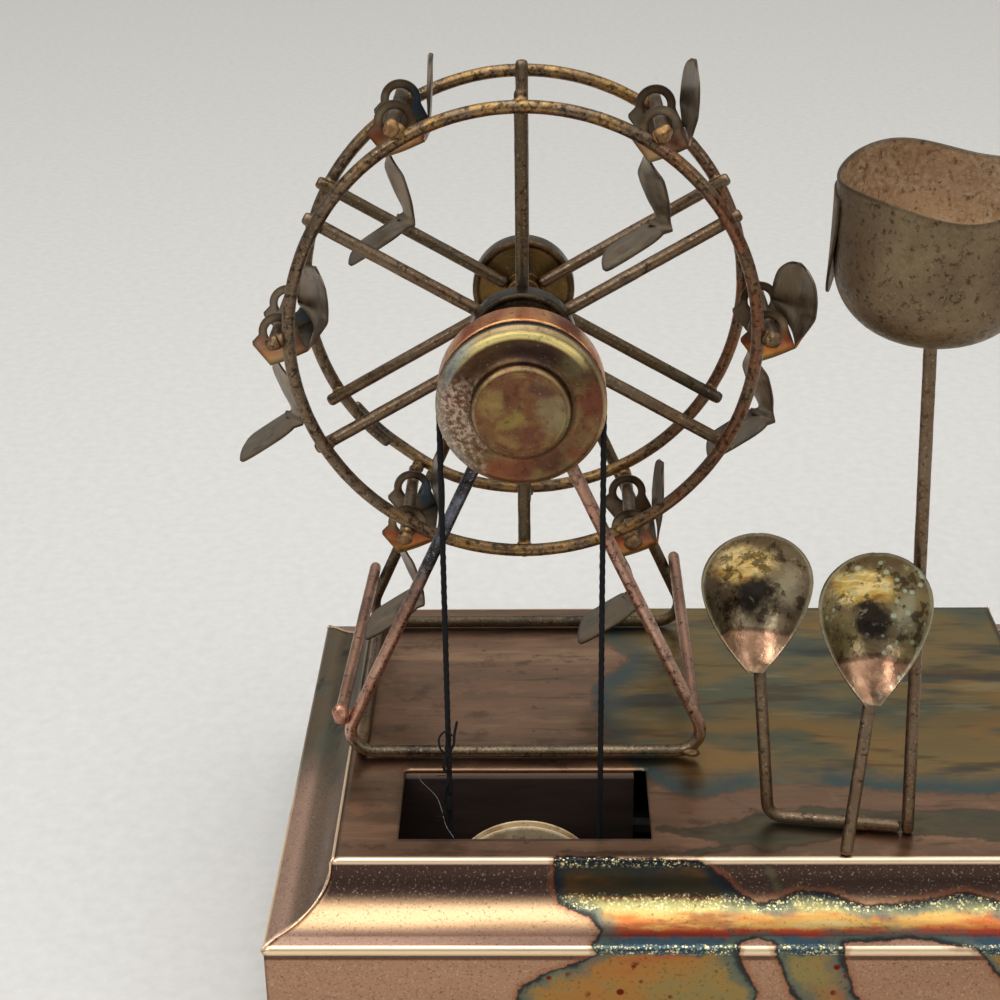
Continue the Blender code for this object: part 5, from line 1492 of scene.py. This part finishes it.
# Lumps on the stand: place from the axle, size and flattening
LEFT_FOOT_LUMPS = (((-46.8, -18.9, 13.4), 2.5, (0.9, 1, 1.1)),
                   ((-45.8, -16.5, 11.2), 1.9, (1, 1, 1)))
STAND_LUMPS = (((42.4, -19.5, 2.2), 1.6, (1.5, 1, 0.7)),
               ((81.5, -50.8, 1.6), 1.8, (1.4, 1, 1)))


def build_solder():
    """Lumps at the joints of the wheel and of the stand."""
    chance = random.Random(11)
    lumps = []
    for i in range(6):
        for y in SPOKE_JOINTS_Y:
            lumps.append((ring_point(30 + 60 * i, y),
                          chance.uniform(1.8, 2.2), (1, 0.9, 1)))
    for i in range(1, 7):
        swing = Vector(JOINTS[f"seat_{i}_swing"]["pos_m"])
        out = Vector((swing.x - WHEEL_X, 0, swing.z - AXLE.z)).normalized()
        for y in RING_Y.values():
            place = Vector((swing.x, y, swing.z)) - out * 1.5 * MM
            lumps.append((place, chance.uniform(1.8, 2.2), (1, 0.9, 1)))
        lumps.append((Vector((swing.x, ROD_END_Y, swing.z)),
                      chance.uniform(1.9, 2.2), (1, 0.7, 1)))
    piece(blobs_mesh("wheel_solder", lumps), SOLDER, "wheel")
    still_lumps("left_foot_solder", LEFT_FOOT_LUMPS, SOLDER_PINK)
    still_lumps("stand_solder", STAND_LUMPS, SOLDER)


# The knot's lumps: place from the axle, size and flattening
KNOT = (
    ((-18.5, -40.9, 16.6), 0.95, (1, 1, 1.3)),
    ((-18.7, -41.3, 15.3), 0.8, (1, 1, 1.4)),
    ((-18.3, -41.2, 13.9), 0.7, (0.9, 1, 1.5)),
    ((-18.5, -41.2, 6.0), 0.9, (0.9, 1, 3.2)),
    ((-18.7, -41.3, 1.0), 0.95, (1, 1, 3.0)),
)
# The knot's ends: name, radius and points from the axle
STRANDS = (
    ("belt_end_up", 0.32, (
        (-18.6, -41.6, 15.5), (-17.2, -42.2, 18.5), (-16.9, -42.3, 21.5),
        (-16.2, -42.0, 25.0))),
    ("belt_loop", 0.26, (
        (-18.6, -41.6, 15.0), (-20.4, -42.2, 17.4), (-20.6, -42.4, 20.6),
        (-18.9, -42.2, 22.4), (-17.4, -42.0, 20.9))),
    ("belt_end_down", 0.30, (
        (-18.6, -41.4, 15.0), (-19.9, -42.0, 12.4), (-18.4, -42.2, 9.0),
        (-19.6, -42.0, 4.4), (-18.7, -41.6, -3.0))),
)
HAIR_LINE = ((-26.8, -30, 2.4), (-26.2, -30.6, 0.6), (-22.4, -34, -1.6),
             (-20.9, -37.4, -3.2), (-19.7, -41.5, -5.2),
             (-17.6, -44.4, -7.0))
FUZZ = 16


def strand(name, radius, points, material=THREAD, sides=6):
    """A loose thread along a smooth line through points."""
    line = smooth_rows([from_axle(*point) for point in points], 10)
    radius *= MM
    piece(rod_mesh(name, line, radius, False, 0.5 * MM, sides, 0.03 * MM,
                   radius), material, "base")


def build_threads():
    """The belt's knot with its frayed ends, and a pale hair beside it."""
    still_lumps("belt_knot", KNOT, THREAD)
    for kind in STRANDS:
        strand(*kind, sides=8)
    draw = random.Random(5).uniform
    for i in range(FUZZ):
        start = Vector((-18.9 + draw(-0.8, 0.8), -41.5, draw(-4, 12)))
        bend = Vector((draw(-2.4, 1.2), draw(-1.2, 0.2), draw(-1.5, 2.0)))
        end = bend * 1.4 + Vector((0, 0, draw(-2, 1.5)))
        strand(f"belt_fuzz_{i}", 0.09, (start, start + bend, start + end))
    strand("pale_hair", 0.07, HAIR_LINE, HAIR)


# Flowers: places across from the axle, back from the front edge and up

LEAF_SHEET = 0.6 * MM
LEAF_WIDTH = 25.6 * MM
LEAF_WIDEST = 0.65
LEAF_TIP_WIDTH = 0.14
LEAF_CUP = 6 * MM
LEAF_LEAN = 12
LEAF_TIPS = {"left": (54.2, 13.5, 42.2), "right": (79.6, 1.0, 40.7)}
LEAF_HEIGHTS = {"left": 33.6 * MM, "right": 36.0 * MM}
LEFT_STEM_SHIFT = 1.1 * MM
LEFT_FOOT = (59, 14.9, 0)
TALL_FOOT = (92, 9.9, 0)
STEM_BEND = 3.5 * MM
FLOWER_PLACE = (89, 16.5, 124.5)
FLOWER_RADIUS, FLOWER_HEIGHT = 21.5 * MM, 38 * MM
CUP_SHOULDER, CUP_ROUNDNESS = 0.5, 2.4
LIP_WAVE, LIP_DIP = 1.6 * MM, 5.5 * MM
SEPAL_SIDE, SEPAL_SPREAD = 160, 25
SEPAL_LOW, SEPAL_HEIGHT = 7.5 * MM, 25 * MM


def leaf_levels(below=22, above=16):
    """Shares of a leaf's height and width, from the tip to the top."""
    levels = []
    for i in range(below):
        share = i / below
        width = 1 - (1 - LEAF_TIP_WIDTH) * (1 - share) ** 1.75
        levels.append((LEAF_WIDEST * share, width))
    for i in range(above):
        a = math.radians(86 * i / (above - 1))
        levels.append((LEAF_WIDEST + (1 - LEAF_WIDEST) * math.sin(a),
                       math.cos(a)))
    return levels


def build_leaf(side, material):
    """A hammered spoon of sheet with a fold at its tip."""
    height = LEAF_HEIGHTS[side]
    rows = []
    for up, width in leaf_levels():
        hollow = LEAF_CUP * math.sin(math.pi * up) ** 1.5
        fold = 1.3 * MM * max(0, 1 - up / 0.3) * (up > 0)
        row = []
        for c in range(29):
            s = -1 + c / 14
            depth = hollow * (1 - s * s) + fold * (1 - abs(s)) * 0.5
            spot = Vector((LEAF_WIDTH / 2 * width * s, depth, height * up))
            spot.y += noise.noise(spot * 190 + Vector((width, 0, 0))) \
                * 0.25 * MM
            row.append(spot)
        rows.append(row)
    data = mesh_of_rows(f"{side}_leaf", rows)
    mark_edges(data)
    thicken(piece(data, material, "base", f"{side}_leaf",
                  place=plant_point(*LEAF_TIPS[side]),
                  turn=(math.radians(-LEAF_LEAN), 0, 0)), LEAF_SHEET)


def build_stems():
    """The left leaf's bent rod, and the two straight ones."""
    behind = Vector((LEFT_STEM_SHIFT,
                     STEM_RADIUS + GAP + LEAF_SHEET / 2 + 0.8 * MM,
                     1.5 * MM))
    rest = Vector((0, 0, GAP + STEM_RADIUS))
    top = plant_point(*LEAF_TIPS["left"]) + behind
    foot = plant_point(*LEFT_FOOT) + rest
    tall = plant_point(*TALL_FOOT) + rest
    end = tall - (tall - foot).normalized() * (STEM_RADIUS + GAP)
    piece(rod_mesh("left_leaf_stem", filleted([top, foot, end], STEM_BEND),
                   STEM_RADIUS), ROD, "base", "left_leaf_stem")
    for node in ("right_leaf_stem", "tall_flower_stem"):
        build_rod(node, ROD, radius=STEM_RADIUS)


def cup_radius(up):
    """The cup's radius at a share of its height: round, then upright."""
    swell = min(up / CUP_SHOULDER, 1)
    return FLOWER_RADIUS * (1 - (1 - swell) ** CUP_ROUNDNESS) ** 0.5


def cup_rows(columns, levels):
    """The cup from its bottom to its wavy lip, low at the front."""
    rows = []
    for r in range(levels + 1):
        v = 0.03 + 0.97 * (r / levels) ** 1.2
        size = cup_radius(v)
        row = []
        for c in range(columns):
            a = math.tau * c / columns
            front = max(-math.sin(a + 0.25), 0) ** 2
            lip = (LIP_WAVE * math.cos(3 * a + 0.4) - LIP_DIP * front) * v ** 3
            flare = 1 + 0.03 * max(0, v - 0.8) / 0.2 * math.cos(2 * a)
            spot = Vector((size * flare * math.cos(a),
                           size * flare * math.sin(a),
                           FLOWER_HEIGHT * v + lip))
            dent = noise.noise(spot * 90) * 0.45 * MM
            row.append(spot + dent * Vector((math.cos(a), math.sin(a), 0)))
        rows.append(row)
    base = Vector((0, 0, min(spot.z for spot in rows[0])))
    return [[spot - base for spot in row] for row in rows]


def build_flower_piece(data, node, lining=None):
    mark_edges(data)
    thicken(piece(data, FLOWER_OUTSIDE, "base", node,
                  place=plant_point(*FLOWER_PLACE)), LEAF_SHEET, lining)


def build_flower():
    """The tall cup with its flat bottom, and the petal laid on its side."""
    columns = 120
    data = mesh_of_rows("tall_flower_cup", cup_rows(columns, 40), True)
    bm = bmesh.new()
    bm.from_mesh(data)
    bm.verts.ensure_lookup_table()
    bm.faces.new([bm.verts[i] for i in range(columns)])
    bmesh.ops.recalc_face_normals(bm, faces=bm.faces)
    bm.to_mesh(data)
    bm.free()
    build_flower_piece(data, "tall_flower_cup", FLOWER_INSIDE)
    middle = math.radians(SEPAL_SIDE)
    rows = []
    for r in range(29):
        t = r / 28
        width = 0.06 + 1.1 * math.sin(math.pi * 0.5 * t) ** 0.8
        spread = math.radians(SEPAL_SPREAD * width)
        reach = FLOWER_RADIUS + 1.3 * LEAF_SHEET + 0.8 * MM * (1 - t) ** 2
        rows.append([(reach * math.cos(middle + spread * s),
                      reach * math.sin(middle + spread * s),
                      SEPAL_LOW + (SEPAL_HEIGHT - 1.5 * MM * s * s) * t)
                     for s in [k / 10 - 1 for k in range(21)]])
    build_flower_piece(mesh_of_rows("tall_flower_sepal", rows),
                       "tall_flower_sepal")


def dress_hidden():
    """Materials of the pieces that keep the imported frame's shapes."""
    for names, material in (
            (("bottom_board", "movement_board"), BOARD),
            (("base_felt",), FELT),
            (("movement_bedplate", "governor_bracket"), CAST),
            (("comb", "governor", "music_cylinder"), SHADED_STEEL),
            (("winding_key",), STEEL),
            (("key_bushing",), BRASS),
            (("wheel_axle", "front_bearing", "rear_bearing",
              "spring_barrel"), DARK_BRONZE)):
        for name in names:
            slots = frame["nodes"][name].data.materials
            slots.clear()
            slots.append(material)


dress_hidden()
build_cover()
build_end("left_end_panel", -1)
build_end("right_end_panel", 1)
build_seams()
build_stand()
build_rings()
build_wheel_rods()
build_hubs()
build_wheel_pulley()
build_movement_pulley()
build_seats()
build_belt()
build_solder()
build_threads()
build_leaf("left", LEFT_LEAF)
build_leaf("right", RIGHT_LEAF)
build_stems()
build_flower()


# Floor, backdrop and light

# Brightness of the sky from straight down to straight up
SKY = ((0.0, 0.30), (0.50, 0.30), (0.68, 0.34), (0.76, 0.50), (0.86, 0.90),
       (1.0, 1.0))
# Place, size and power of each lamp
LAMPS = {
    "top_lamp": ((-0.1, -0.15, 1.3), 1.1, 7),
    "key_lamp": ((-0.8, -0.9, 1.0), 0.5, 4),
    "fill_lamp": ((0.9, -0.8, 0.7), 0.6, 2),
}
LIT_PLACE = (0, 0, 0.1)


def make_stage():
    bpy.ops.mesh.primitive_plane_add(size=6)
    floor = bpy.context.active_object
    floor.name = "floor"
    g = Graph("pale_floor")
    g.colour = g.noise(220, 4, 0.6).ramp([
        (0.3, (206, 204, 200)), (0.7, (216, 214, 211))], False)
    floor.data.materials.append(g.finish(0.8, 0.0))


def make_lamps():
    for name, (place, size, power) in LAMPS.items():
        data = bpy.data.lights.new(name, 'AREA')
        data.shape = 'RECTANGLE'
        data.size = data.size_y = size
        data.energy = power
        lamp = bpy.data.objects.new(name, data)
        bpy.context.scene.collection.objects.link(lamp)
        lamp.location = place
        direction = Vector(LIT_PLACE) - Vector(place)
        lamp.rotation_euler = direction.to_track_quat('-Z', 'Y').to_euler()


def make_sky():
    world = bpy.data.worlds.new("studio")
    bpy.context.scene.world = world
    g = Graph(world, "Generated")
    sky = g.add("ShaderNodeValToRGB",
                {0: g.math('MULTIPLY_ADD', g.axis(2), 0.5, 0.5)})
    set_stops(sky.socket.node.color_ramp, [
        (place, (value, value, value * 0.98)) for place, value in SKY])
    g.feed(g.tree.nodes["Background"].inputs[0], sky)


make_stage()
make_sky()
make_lamps()
scene = bpy.context.scene
scene.view_settings.view_transform = 'Standard'
